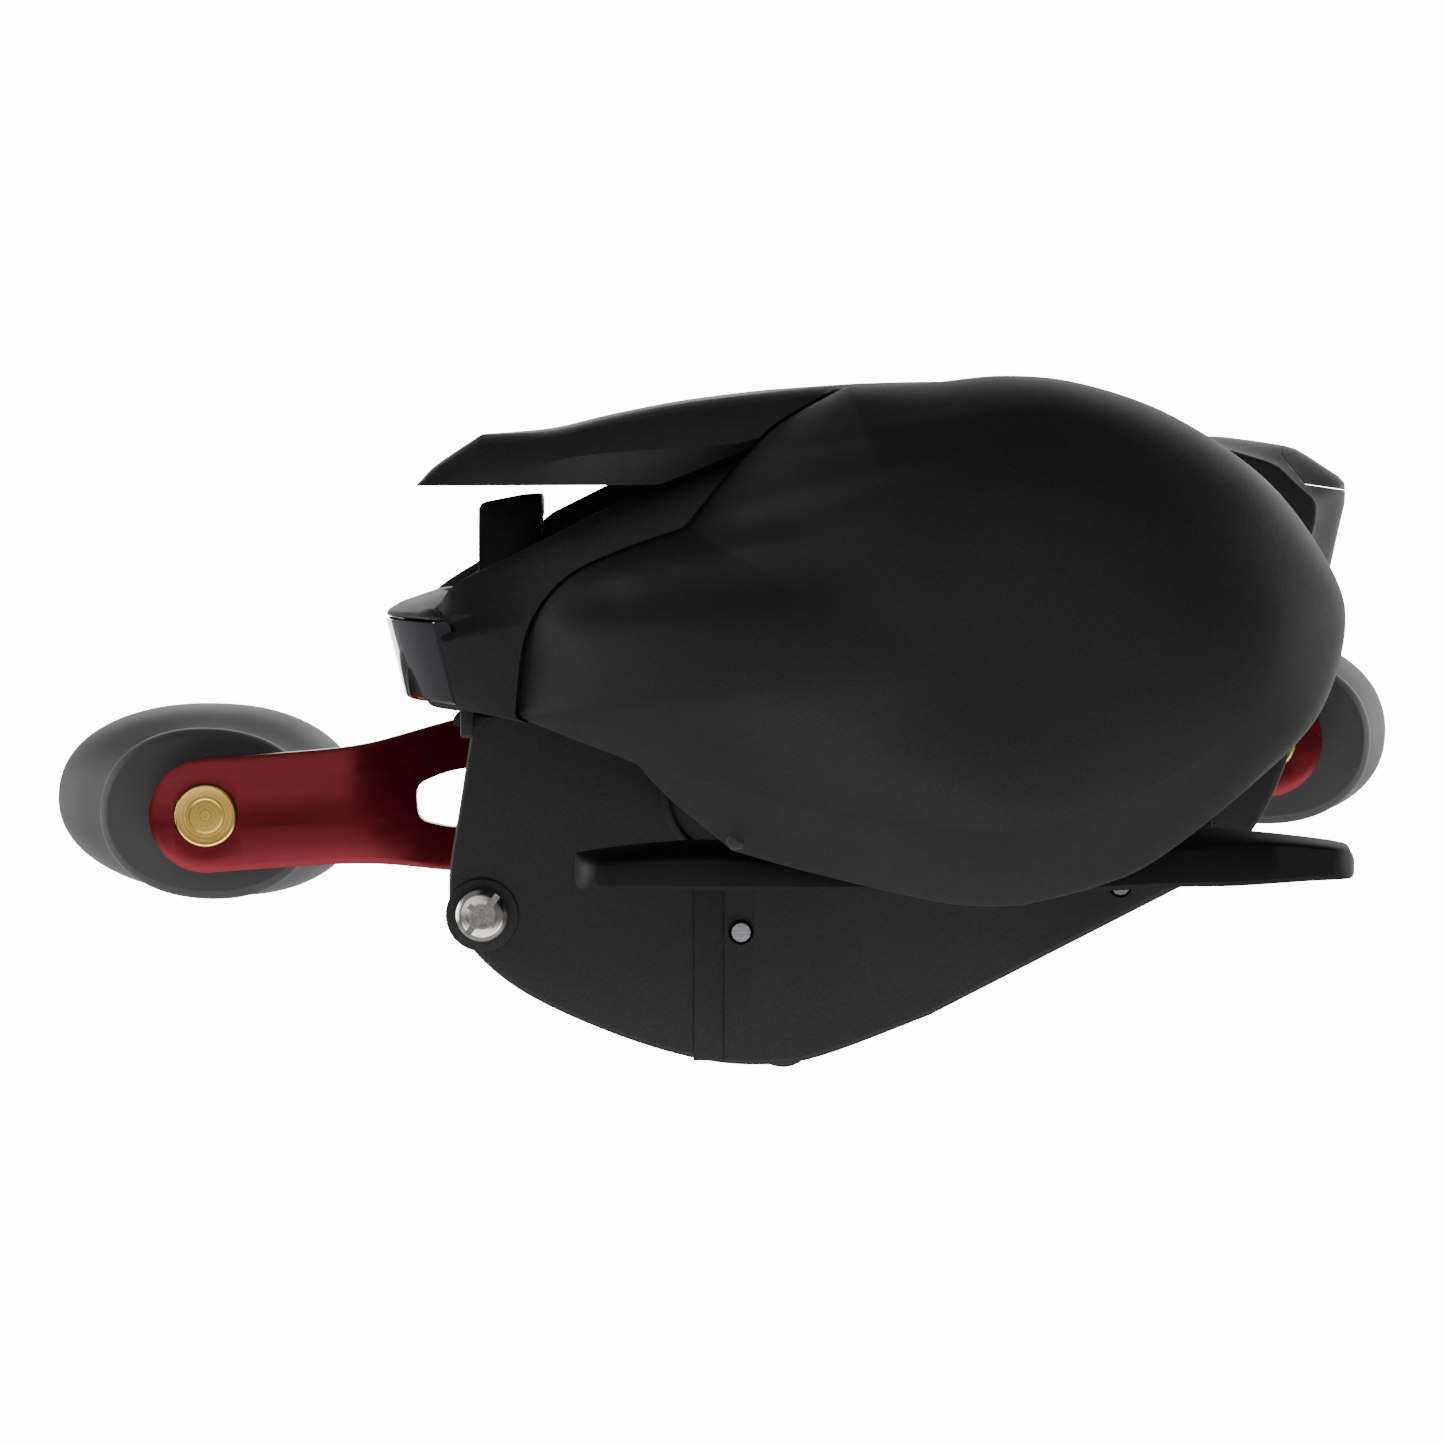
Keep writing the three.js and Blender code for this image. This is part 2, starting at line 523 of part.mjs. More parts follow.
const GUIDE = { x: [-35.5, -31.1], half: 4.2, eyeZ: 25.8, top: 28.7 };
function makeLineGuide() {
  const { x, z } = wormAxis;
  const column = polygon([[-4.2, 21], [-3.4, 23], [-4.2, 28], [-3.2, GUIDE.top], [3.2, GUIDE.top], [4.2, 28],
    [3.4, 23], [4.2, 21]]);
  const post = solid(
    new THREE.ExtrudeGeometry(column, { depth: GUIDE.x[1] - GUIDE.x[0], bevelEnabled: false })
      .rotateX(Math.PI / 2).rotateZ(Math.PI / 2).translate(GUIDE.x[0], 0, 0),
  );
  const sleeve = at(disc(3.9, -3, 3), x, z);
  const neck = block([x - 1.9, x + 1.9], [-3, 3], [z + 2, 21.2]);
  const pawlBoss = rodAlongZ(2.5, x, 0, [13.25, 15.4]);
  return sleeve.add(neck).add(post).add(pawlBoss)
    .subtract(at(disc(2.85, -5, 5), x, z))
    .subtract(rodAlongX(2.5, [x - 5, x + 5], 0, GUIDE.eyeZ))
    .subtract(rodAlongZ(1.1, x, 0, [13, 16]))
    .subtract(rodAlongZ(1.95, x, 0, [13, 13.9]));
}

// the guide's ceramic eye, flared at both ends, with its axis along X
function makeGuideInsert() {
  const half = (GUIDE.x[1] - GUIDE.x[0]) / 2;
  const eye = turned([[1.5, -0.8], [1.5, 0.8], [1.9, half], [2.3, half], [2.3, -half], [1.9, -half]], 20);
  return eye.rotate([0, 0, 90]).translate([wormAxis.x, 0, GUIDE.eyeZ]);
}

function makeWormGuard() {
  const slot = block([-1.2, 1.2], [-9.5, 9.5], [-4, 0]);
  return ring(2.1, 2.6, LEFT_PLATE[1] + 0.5, RIGHT_PLATE[0] - 0.3).subtract(slot);
}

// ---------------------------------------------------------------- handle and drag star
// the arm: its plan outline cut out of a bar that steps inwards towards the knobs
function makeHandleArm() {
  const half = HANDLE_HALF;
  const endRadius = 4.5;
  const plan = new THREE.Shape();
  plan.absarc(half, 0, endRadius, -Math.PI / 2, Math.PI / 2, false);
  plan.splineThru([[31.8, 4.65], [20, 6], [9, 8.2], [0, 8.8], [-9, 8.2], [-20, 6], [-31.8, 4.65],
    [-half, endRadius]].map(([x, z]) => new THREE.Vector2(x, z)));
  plan.absarc(-half, 0, endRadius, Math.PI / 2, (3 * Math.PI) / 2, false);
  plan.splineThru([[-31.8, -4.65], [-20, -6], [-9, -8.2], [0, -8.8], [9, -8.2], [20, -6], [31.8, -4.65],
    [half, -endRadius]].map(([x, z]) => new THREE.Vector2(x, z)));
  const flank = (side) => [[side * 50, ARM_END[0]], [side * 32, ARM_END[0]], [side * 27, ARM_HUB[0]]];
  const back = (side) => [[side * 26, ARM_HUB[1]], [side * 31, ARM_END[1]], [side * 50, ARM_END[1]]];
  const steps = polygon([...flank(-1), ...flank(1).reverse(), ...back(1).reverse(), ...back(-1)]);
  const bar = upright(steps, [-10, 10]);
  let arm = plate(plan, [30, 45], 3).intersect(bar);
  for (const side of [-1, 1]) {
    const window = polygon([[10.5, -3.1], [22.6, -2.1], [25.1, -1.2], [25.1, 1.2], [22.6, 2.1], [10.5, 3.1]]
      .map(([x, z]) => [side * x, side * z]));
    arm = arm.subtract(plate(window, [30, 45])).subtract(at(disc(2.7, 30, 45), side * half, 0));
  }
  return arm.subtract(disc(2.5, 30, 45)).subtract(at(disc(1.2, 30, 45, 12), RETAINER_SCREW, 0));
}

function makeKnob() {
  const [inner, outer] = KNOB_DEPTH;
  const long = [[0, inner], [7, inner], [8.5, inner + 1.6], [7.6, inner + 7], [8.2, inner + 11.5],
    [11.6, inner + 17.5], [12.2, outer - 2.4], [10.6, outer - 0.5], [0, outer]];
  const body = turned(long, 22).scale([1, 1, 0.68]).rotate([0, THREE.MathUtils.radToDeg(KNOB_TILT), 0]);
  return body.subtract(disc(1.9, inner - 1, outer - 1.6, 16)).subtract(disc(3.4, outer - 1.5, outer + 1, 16));
}

const makeKnobShaft = () =>
  turned([[0, 34.9], [2.45, 34.9], [2.45, 37.7], [1.6, 37.7], [1.6, 58], [0, 58]], 20);
const makeKnobCap = () => disc(3.1, 59.3, 60.6, 16);

function makeStar() {
  const points = [];
  for (let i = 0; i < STAR_ARMS; i += 1) {
    const middle = THREE.MathUtils.degToRad(-79.5 + (360 / STAR_ARMS) * i);
    for (const [radius, degrees] of [[6.8, -36], [9.4, -20], [STAR_REACH - 2.4, -7.4], [STAR_REACH - 0.6, -4.6],
      [STAR_REACH, 0], [STAR_REACH - 0.6, 4.6], [STAR_REACH - 2.4, 7.4], [9.4, 20]]) {
      const angle = middle + THREE.MathUtils.degToRad(degrees);
      points.push([radius * Math.cos(angle), radius * Math.sin(angle)]);
    }
  }
  return plate(polygon(points), STAR_DEPTH).add(disc(6.6, STAR_DEPTH[0], 37.4)).subtract(disc(3.6, 30, 40));
}

function makeNutRetainer() {
  const cover = plate(new THREE.Shape().absellipse(2, 0, 8.6, 6.6, 0, 2 * Math.PI), [41.7, 45.6], 8);
  return cover.subtract(hexNut(5.3, 41, 44.9)).subtract(at(disc(1.2, 40, 47, 12), RETAINER_SCREW, 0));
}

function hexNut(radius, y0, y1) {
  return solid(new THREE.CylinderGeometry(radius, radius, y1 - y0, 6).translate(0, (y0 + y1) / 2, 0));
}

// ---------------------------------------------------------------- assembly
const reel = new THREE.Group();
const place = (parent, x, z) => {
  const group = new THREE.Group();
  group.position.set(x, 0, z);
  parent.add(group);
  return group;
};
const driveLine = place(reel, driveAxis.x, driveAxis.z);
const spoolLine = place(reel, spoolAxis.x, spoolAxis.z);
const wormLine = place(reel, wormAxis.x, wormAxis.z);
const handle = place(driveLine, 0, 0);
handle.rotation.y = -HANDLE_TILT;

function put(parent, name, piece, look) {
  const mesh = piece.getMesh();
  const geometry = new THREE.BufferGeometry();
  const corners = new Float32Array(mesh.numVert * 3);
  for (let i = 0; i < mesh.numVert; i += 1) {
    corners.set(mesh.vertProperties.subarray(i * mesh.numProp, i * mesh.numProp + 3), i * 3);
  }
  geometry.setAttribute("position", new THREE.BufferAttribute(corners, 3));
  geometry.setIndex(new THREE.BufferAttribute(mesh.triVerts, 1));
  const part = new THREE.Mesh(geometry, new THREE.MeshStandardMaterial(look));
  part.name = name;
  parent.add(part);
  return part;
}

// casings and frame
put(reel, "frame", makeFrame(), BLACK);
put(reel, "palm_side_cover", makePalmCover(), BLACK);
put(reel, "release_lever", makeReleaseLever(), BLACK);
put(reel, "front_cover", makeFrontCover(), BLACK);
put(reel, "nose_plate", makeNosePlate(), GLOSS_BLACK);
put(reel, "top_hood", makeHood(), BLACK);
put(reel, "gear_side_plate", makeGearPlate(), BLACK);
put(reel, "gear_side_cover", makeGearCover(), BLACK);
put(reel, "gear_cover_cap", makeGearCap(), BLACK);
const screwProfile = [[0, 13.6], [1.5, 13.6], [2, 14.1], [2, 14.5], [1, 14.5], [1, 22], [0, 22]];
put(place(reel, sideScrew.x, sideScrew.z), "side_screw", turned(screwProfile, 20), STEEL);
for (const [name, dowel] of dowels) put(place(reel, dowel.x, dowel.z), name, disc(0.72, 14.3, 16.6, 12), STEEL);

// spool line
put(spoolLine, "brake_case", makeBrakeCase(), BLACK);
put(spoolLine, "brake_race", ring(6.6, 7.4, -15.2, -13), STEEL);
put(spoolLine, "spool_bearing_palm", ring(1.75, 3.9, -18.8, -16.6), STEEL);
put(spoolLine, "brake_hub", ring(1.75, 5.6, -14.9, -12.9), RUBBER);
put(spoolLine, "spool", makeSpool(), DARK_ALLOY);
const pinHole = rodAlongZ(0.65, 0, 17.05, [-3, 3], 10);
put(spoolLine, "spool_shaft", disc(SPOOL_SHAFT_RADIUS, -18.8, 28.2, 16).subtract(pinHole), STEEL);
put(spoolLine, "spool_pin", rodAlongZ(0.5, 0, 17.05, [-2.4, 2.4], 10), STEEL);
put(spoolLine, "pinion_bearing", ring(1.75, 4.5, 14.9, 16.3), STEEL);
put(spoolLine, "pinion", makePinion(), BRASS);
put(spoolLine, "pinion_yoke", makeYoke(), BLACK);
put(spoolLine, "clutch_cam", makeClutchCam(), BLACK);
put(spoolLine, "shaft_end_bearing", ring(1.75, 3.3, 26.2, 28, 20), STEEL);
put(spoolLine, "cast_control_cap", turned([[0, 31], [6, 31], [6.4, 30.6], [6.4, 26.6], [4.9, 26.6], [4.9, 29.3],
  [0, 29.3]], 28), BLACK);
put(reel, "thumb_bar", makeThumbBar(), BLACK);
posts.forEach((post, i) => {
  put(place(reel, post.x, post.z), `yoke_spring_${i ? "lower" : "upper"}`, ring(1.25, 1.9, 21.8, 24.3, 16), STEEL);
});

// level wind
put(wormLine, "worm_shaft", disc(1.9, -15.4, 18.9, 20), STEEL);
put(wormLine, "worm_gear", makeWormGear(), BRASS);
put(wormLine, "worm_guard", makeWormGuard(), STEEL);
put(wormLine, "worm_bushing_palm", ring(2.1, 2.65, -15.8, -13.7), BRASS);
put(wormLine, "worm_bushing_gear", ring(2.1, 2.65, 12.7, 16.6), BRASS);
put(reel, "line_guide", makeLineGuide(), BLACK);
put(reel, "guide_insert", makeGuideInsert(), CERAMIC);
put(reel, "level_wind_pawl", rodAlongZ(0.85, wormAxis.x, 0, [14.1, wormAxis.z - 2.1], 12), STEEL);
put(reel, "pawl_cap", rodAlongZ(1.65, wormAxis.x, 0, [13.3, 13.85], 16), STEEL);

// drive line
put(driveLine, "drive_shaft_bearing", ring(2.2, 4.1, 14, 16.6), STEEL);
put(driveLine, "drive_shaft", turned([[0, 14.1], [2, 14.1], [2, 17], [2.9, 17], [2.9, 24.2], [3.1, 24.2],
  [3.1, 38.9], [2.2, 38.9], [2.2, 44.6], [0, 44.6]], 20), STEEL);
put(driveLine, "idler_gear", makeIdlerGear(), RUBBER);
put(driveLine, "anti_reverse_ratchet", makeRatchet(), STEEL);
put(driveLine, "drive_gear", makeDriveGear(), BRASS);
put(driveLine, "drag_washer", ring(4, 12.6, 22.45, 22.95, 28), CARBON);
put(driveLine, "key_washer", ring(3.35, 12, 23.25, 24, 28), STEEL);
put(driveLine, "roller_clutch_tube", ring(3.35, 4.6, 24.4, 30.7), STEEL);
put(driveLine, "roller_clutch", ring(4.85, 7.5, 25.2, 30.3), STEEL);
put(driveLine, "drag_spring_washer", ring(3.4, 5.2, 31, 31.5), STEEL);
put(driveLine, "star_drag", makeStar(), BLACK);

// handle
put(handle, "handle_arm", makeHandleArm(), RED);
put(handle, "handle_nut", hexNut(5, 41.7, 44.4).subtract(disc(2.4, 41, 46)), STEEL);
put(handle, "nut_retainer", makeNutRetainer(), RED);
put(handle, "retainer_screw", turned([[0, 40], [0.9, 40], [0.9, 45.9], [1.8, 45.9], [1.8, 46.7], [0, 46.7]], 14)
  .translate([RETAINER_SCREW, 0, 0]), STEEL);
for (const [end, side] of [["front", -1], ["rear", 1]]) {
  const seat = place(handle, side * HANDLE_HALF, 0);
  put(seat, `knob_shaft_${end}`, makeKnobShaft(), BRASS);
  put(seat, `knob_${end}`, makeKnob(), RUBBER);
  put(seat, `knob_cap_${end}`, makeKnobCap(), BLACK);
}

export default reel;
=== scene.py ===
# The looks of a low-profile baitcasting reel. Shapes are worked out in millimetres in the reel's
# own frame (+X rod butt, +Y handle side, +Z up) and made in metres. The axes and the main depths
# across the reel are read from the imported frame.
import json
import math

import bmesh
import bpy
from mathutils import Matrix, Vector


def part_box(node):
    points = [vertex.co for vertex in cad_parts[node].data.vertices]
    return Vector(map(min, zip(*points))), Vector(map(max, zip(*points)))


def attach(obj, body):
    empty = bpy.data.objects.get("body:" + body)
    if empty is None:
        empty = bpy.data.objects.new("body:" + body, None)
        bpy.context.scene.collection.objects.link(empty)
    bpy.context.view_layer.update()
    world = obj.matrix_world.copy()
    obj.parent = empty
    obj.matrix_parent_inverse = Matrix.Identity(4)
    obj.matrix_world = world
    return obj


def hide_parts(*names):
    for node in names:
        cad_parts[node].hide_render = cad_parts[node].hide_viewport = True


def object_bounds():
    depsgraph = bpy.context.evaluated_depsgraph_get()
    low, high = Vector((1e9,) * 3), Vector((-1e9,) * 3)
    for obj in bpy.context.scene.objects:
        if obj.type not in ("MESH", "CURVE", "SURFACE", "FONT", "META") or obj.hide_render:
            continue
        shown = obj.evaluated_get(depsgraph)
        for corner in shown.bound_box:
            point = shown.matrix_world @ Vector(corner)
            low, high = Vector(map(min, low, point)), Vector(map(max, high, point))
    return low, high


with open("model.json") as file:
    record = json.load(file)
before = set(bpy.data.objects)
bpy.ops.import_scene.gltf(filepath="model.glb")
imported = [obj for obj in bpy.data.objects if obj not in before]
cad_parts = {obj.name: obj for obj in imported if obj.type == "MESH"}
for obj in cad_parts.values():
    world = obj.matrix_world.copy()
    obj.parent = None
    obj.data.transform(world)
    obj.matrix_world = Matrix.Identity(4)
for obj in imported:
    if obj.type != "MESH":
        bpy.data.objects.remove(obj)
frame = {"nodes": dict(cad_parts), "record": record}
CAD_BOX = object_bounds()
MM = 0.001
TURN = 2 * math.pi
RECORD = frame["record"]


# ---- places read from the frame
def joint_axis(name):
    """The x and z, in mm, of a hinge that runs across the reel."""
    x, _, z = next(joint["pos_m"] for joint in RECORD["behaviour"]["joints"] if joint["name"] == name)
    return x / MM, z / MM


def span(node, axis):
    """A node's lowest and highest value along axis 0, 1 or 2, in mm."""
    low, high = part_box(node)
    return low[axis] / MM, high[axis] / MM


def middle_of(node):
    """The x and z, in mm, of the middle of a node's box."""
    return tuple(sum(span(node, k)) / 2 for k in (0, 2))


def radius_about(node, axis):
    """How far a node reaches, in mm, from an axis across the reel."""
    piece = frame["nodes"][node]
    corners = [piece.matrix_world @ vert.co for vert in piece.data.vertices]
    return max(math.hypot(corner.x / MM - axis[0], corner.z / MM - axis[1]) for corner in corners)


DRIVE = joint_axis("drive_spin")
SPOOL = joint_axis("spool_spin")
WORM = joint_axis("worm_spin")
KNOBS = {"front": joint_axis("front_knob_spin"), "rear": joint_axis("rear_knob_spin")}
SCREW = middle_of("side_screw")
DOWELS = [middle_of(f"dowel_pin_{end}") for end in ("front", "rear")]
HANDLE_TILT = math.atan2(KNOBS["rear"][1] - KNOBS["front"][1], KNOBS["rear"][0] - KNOBS["front"][0])
HANDLE_HALF = math.dist(KNOBS["rear"], DRIVE)
PALM_CROWN, PALM_RIM = span("palm_side_cover", 1)
NEAR_FACE = span("front_cover", 1)[0]
GEAR_WALL = (span("dowel_pin_front", 1)[0] + 0.5, span("dowel_pin_front", 1)[1] + 0.2)
GEAR_RIM, BOSS_TOP = span("gear_side_cover", 1)
TANG = (19.3, 22.9)  # the slot, from front to rear, in which the clutch cam's tang slides


# ---- curves and outlines
def curve_through(points, steps):
    """A smooth curve through the points, without the last one."""
    run = []
    for i in range(len(points) - 1):
        a, b = points[max(i - 1, 0)], points[i]
        c, d = points[i + 1], points[min(i + 2, len(points) - 1)]
        for k in range(steps):
            t = k / steps
            run.append(tuple(
                0.5 * (2 * q + (r - p) * t + (2 * p - 5 * q + 4 * r - s) * t * t
                       + (3 * q - p - 3 * r + s) * t ** 3)
                for p, q, r, s in zip(a, b, c, d)))
    return run


def outline(start, stretches, steps=8):
    """A closed outline: a stretch of one point is straight, a longer one is a smooth curve."""
    run, here = [], start
    for stretch in stretches:
        run += curve_through([here] + stretch, steps if len(stretch) > 1 else 1)
        here = stretch[-1]
    return run if here == start else run + [here]


def ring_at(centre, reaches):
    """The closed outline at these distances from a centre, in evenly spaced directions."""
    count = len(reaches)
    return [(centre[0] + out * math.cos(TURN * c / count), centre[1] + out * math.sin(TURN * c / count))
            for c, out in enumerate(reaches)]


def circle(centre, radius, count=48):
    return ring_at(centre, [radius] * count)


def arc(centre, radius, start, sweep, steps=48):
    """The points of an arc, both ends included; start and sweep are in degrees."""
    angles = [math.radians(start + sweep * k / steps) for k in range(steps + 1)]
    return [(centre[0] + radius * math.cos(a), centre[1] + radius * math.sin(a)) for a in angles]


def turned_point(centre, angle, u, v):
    """The point u along and v across a direction at an angle about a centre."""
    c, s = math.cos(angle), math.sin(angle)
    return centre[0] + u * c - v * s, centre[1] + u * s + v * c


def reach(points, centre, angle):
    """How far an outline reaches from a centre in one direction."""
    ux, uz = math.cos(angle), math.sin(angle)
    best = 0.0
    for (px, pz), (qx, qz) in zip(points, points[1:] + points[:1]):
        ax, az, dx, dz = px - centre[0], pz - centre[1], qx - px, qz - pz
        cross = ux * dz - uz * dx
        if abs(cross) < 1e-9:
            continue
        along, part = (ax * dz - az * dx) / cross, (ax * uz - az * ux) / cross
        if along > best and -1e-9 <= part <= 1 + 1e-9:
            best = along
    return best


def reaches_of(points, centre, count):
    """How far an outline reaches from a centre, in evenly spaced directions."""
    return [reach(points, centre, TURN * c / count) for c in range(count)]


def grown(points, centre, amount, count=240):
    """An outline moved outwards (or inwards) along its rays from a centre."""
    return ring_at(centre, [out + amount for out in reaches_of(points, centre, count)])


def ramp(value, low, high):
    """0 below low, 1 above high, smooth between."""
    t = min(max((value - low) / (high - low), 0.0), 1.0)
    return t * t * (3 - 2 * t)


def along_curve(points, x, z):
    """The distance from a polyline and how far along it (0 to 1) the nearest point is."""
    lengths = [math.dist(p, q) for p, q in zip(points, points[1:])]
    total, gone, best = sum(lengths), 0.0, (1e9, 0.0)
    for (p, q), length in zip(zip(points, points[1:]), lengths):
        t = ((x - p[0]) * (q[0] - p[0]) + (z - p[1]) * (q[1] - p[1])) / length ** 2
        t = min(max(t, 0.0), 1.0)
        gap = math.hypot(x - p[0] - t * (q[0] - p[0]), z - p[1] - t * (q[1] - p[1]))
        if gap < best[0]:
            best = (gap, (gone + t * length) / total)
        gone += length
    return best


def height_on(points, x):
    """The z of a curve that runs from left to right, at x."""
    for (x0, z0), (x1, z1) in zip(points, points[1:]):
        if x <= x1:
            return z0 + (z1 - z0) * max((x - x0) / (x1 - x0), 0.0)
    return points[-1][1]


def blurred(values, width):
    """A closed run of values, each averaged with its neighbours under a bell of a given half width."""
    bell = {k: math.exp(-((2 * k / width) ** 2)) for k in range(-width, width + 1)}
    total = sum(bell.values())
    return [sum(weight * values[(c + k) % len(values)] for k, weight in bell.items()) / total
            for c in range(len(values))]


PALM_OUTLINE = outline((-32.5, 13.1), [
    [(-31.7, 19.1), (-29.1, 22.9), (-25, 25), (-20.5, 26.55)],
    [(-16.1, 31.8), (-13.5, 34.2), (-9, 36.7)],
    [(-3.3, 36.95), (2.1, 37.45), (7.6, 36.9), (14.3, 34.5), (21.1, 29.75), (25.6, 23.4), (26.4, 19),
     (24.5, 13.2), (19.9, 8.4), (13.3, 3.1), (9, 1.1), (3.3, -0.35)],
    [(-1, -0.3), (-5.3, 0.5), (-12.7, 2.3), (-17.2, 3.6)],
    [(-21.6, 7.2), (-24.05, 9.8)],
    [(-32.5, 13.1)],
])
PALM_CENTRE = (-2, 17)

GEAR_OUTLINE = outline((-36.6, 12.2), [
    [(-37.6, 5.7), (-38.5, -0.5), (-37.7, -4.3), (-33.6, -8.4), (-26.6, -11.8), (-19.5, -13.95),
     (-14, -14.3), (-9.9, -13.5), (-2.3, -10.6)],
    [(17, -0.7)],
    [(21.9, 3.2), (25.2, 9.8), (27.3, 16), (28.4, 22.75), (29.6, 28.2)],
    [(29.5, 29.7)],
    [(26.6, 31.6)],
    [(25, 32.3), (20.2, 33)],
    [(8, 33.2), (-6, 32.8), (-18, 30), (-28, 26.8), (-36, 23.8)],
    [(-40.2, 20.6), (-40.4, 15.5), (-38.6, 12.8)],
    [(-36.6, 12.2)],
])
GEAR_CENTRE = (-6, 9)


PINCH = {"towards": math.radians(27), "half": math.radians(15), "depth": 3.4, "flares": (16, 23.4)}


def pinch(angle, y):
    """How far the gearbox is drawn in at its upper rear corner; it flares out again with depth."""
    off = math.remainder(angle - PINCH["towards"], TURN) / PINCH["half"]
    return PINCH["depth"] * math.exp(-off ** 2) * (1 - ramp(y, *PINCH["flares"]))


# ---- mesh helpers
def build(name, corners, faces, sharp=35):
    """A smooth-shaded mesh object from corners in mm, with edges steeper than sharp kept crisp."""
    mesh = bpy.data.meshes.new(name)
    mesh.from_pydata([(x * MM, y * MM, z * MM) for x, y, z in corners], [], faces)
    made = bmesh.new()
    made.from_mesh(mesh)
    bmesh.ops.remove_doubles(made, verts=made.verts, dist=1e-6)
    bmesh.ops.recalc_face_normals(made, faces=made.faces)
    made.to_mesh(mesh)
    made.free()
    piece = bpy.data.objects.new(name, mesh)
    bpy.context.collection.objects.link(piece)
    shade(piece, sharp)
    return piece


def shade(piece, sharp=35):
    mesh = piece.data
    mesh.polygons.foreach_set("use_smooth", [True] * len(mesh.polygons))
    mesh.set_sharp_from_angle(angle=math.radians(sharp))


def strips(rows, columns, closed=True):
    """The quads of a grid stored row by row; closed joins the last column to the first."""
    last = columns if closed else columns - 1
    return [(r * columns + c, r * columns + (c + 1) % columns, (r + 1) * columns + (c + 1) % columns,
             (r + 1) * columns + c) for r in range(rows - 1) for c in range(last)]


def skinned(name, rows, sharp=35):
    """A closed skin through rows of equal length, each row a closed ring."""
    corners = [corner for row in rows for corner in row]
    return build(name, corners, strips(len(rows), len(rows[0])), sharp)


def finished(piece, sharp=35):
    """Bakes a piece's modifiers into its mesh."""
    graph = bpy.context.evaluated_depsgraph_get()
    mesh = bpy.data.meshes.new_from_object(piece.evaluated_get(graph))
    piece.modifiers.clear()
    piece.data = mesh
    shade(piece, sharp)
    return piece


def bevelled(piece, width, segments=3, angle=32):
    edge = piece.modifiers.new("edge", "BEVEL")
    edge.width = width * MM
    edge.segments = segments
    edge.limit_method = "ANGLE"
    edge.angle_limit = math.radians(angle)
    return finished(piece, 50)


def cut(piece, cutter, operation="DIFFERENCE"):
    """Cuts a piece by another object, which is then removed."""
    change = piece.modifiers.new("cut", "BOOLEAN")
    change.operation = operation
    change.object = cutter
    change.solver = "EXACT"
    finished(piece)
    bpy.data.objects.remove(cutter)
    return piece


def rounded(profile, radius, steps=4):
    """A closed profile with each corner turned into a small arc."""
    run = []
    for i, corner in enumerate(profile):
        before, after = profile[i - 1], profile[(i + 1) % len(profile)]
        here = Vector(corner)
        to_before, to_after = Vector(before) - here, Vector(after) - here
        size = min(radius, 0.45 * to_before.length, 0.45 * to_after.length)
        start, end = here + size * to_before.normalized(), here + size * to_after.normalized()
        for k in range(steps + 1):
            t = k / steps
            point = (1 - t) ** 2 * start + 2 * t * (1 - t) * here + t * t * end
            run.append((point.x, point.y))
    return run


def turned(name, profile, axis, soften=0.15, segments=96):
    """A solid of revolution about an axis across the reel; the profile is (radius, y)."""
    solid = profile[0][0] == 0 and profile[-1][0] == 0
    if solid:
        mirrored = [(-r, y) for r, y in reversed(profile[1:-1])]
        run = [p for p in rounded(profile[1:-1] + mirrored, soften) if p[0] > 0]
        run = [(0.0, profile[0][1])] + run + [(0.0, profile[-1][1])]
    else:
        run = rounded(profile, soften)
        run.append(run[0])
    return skinned(name, [[(x, y, z) for x, z in circle(axis, radius, segments)] for radius, y in run])


def slab(name, points, y0, y1, soften=0.25, segments=3):
    """An outline in x and z stretched from y0 to y1, with softened edges."""
    count = len(points)
    corners = [(x, y, z) for y in (y0, y1) for x, z in points]
    faces = strips(2, count) + [tuple(range(count)), tuple(range(2 * count - 1, count - 1, -1))]
    piece = build(name, corners, faces)
    return bevelled(piece, soften, segments) if soften else piece


def lofted(name, rings, sharp=35):
    """A closed solid through rings of equal length, with flat ends."""
    count = len(rings[0])
    corners = [corner for ring in rings for corner in ring]
    last = count * (len(rings) - 1)
    faces = strips(len(rings), count) + [tuple(range(count)), tuple(range(last + count - 1, last - 1, -1))]
    return build(name, corners, faces, sharp)


def upright(name, radius, centre, z0, z1, count=48):
    """A plain upright cylinder."""
    return lofted(name, [[(x, y, z) for x, y in circle(centre, radius, count)] for z in (z0, z1)])


def box_piece(name, x, y, z, soften=0.0):
    ring = [(x[0], z[0]), (x[1], z[0]), (x[1], z[1]), (x[0], z[1])]
    return slab(name, ring, y[0], y[1], soften)


def rod(name, radius, axis, y0, y1, segments=64):
    return slab(name, circle(axis, radius, segments), y0, y1, 0)


def joined(piece, *others):
    """Makes overlapping solids into one piece."""
    work = bmesh.new()
    for part in (piece, *others):
        work.from_mesh(part.data)
    work.to_mesh(piece.data)
    work.free()
    for other in others:
        bpy.data.objects.remove(other)
    shade(piece, 50)
    return piece


def drilled(piece, *holes):
    """Cuts round holes across the reel; each is (axis, radius, y0, y1)."""
    for axis, radius, y0, y1 in holes:
        cut(piece, rod("drill", radius, axis, y0, y1))
    return piece


def softened(name, node, width, angle=32):
    """A copy of a CAD node with its flat faces merged and its edges rounded."""
    mesh = frame["nodes"][node].data.copy()
    work = bmesh.new()
    work.from_mesh(mesh)
    bmesh.ops.remove_doubles(work, verts=work.verts, dist=1e-6)
    bmesh.ops.dissolve_limit(work, angle_limit=math.radians(1), verts=work.verts, edges=work.edges)
    work.to_mesh(mesh)
    work.free()
    piece = bpy.data.objects.new(name, mesh)
    piece.matrix_world = frame["nodes"][node].matrix_world
    bpy.context.collection.objects.link(piece)
    return bevelled(piece, width, 2, angle)


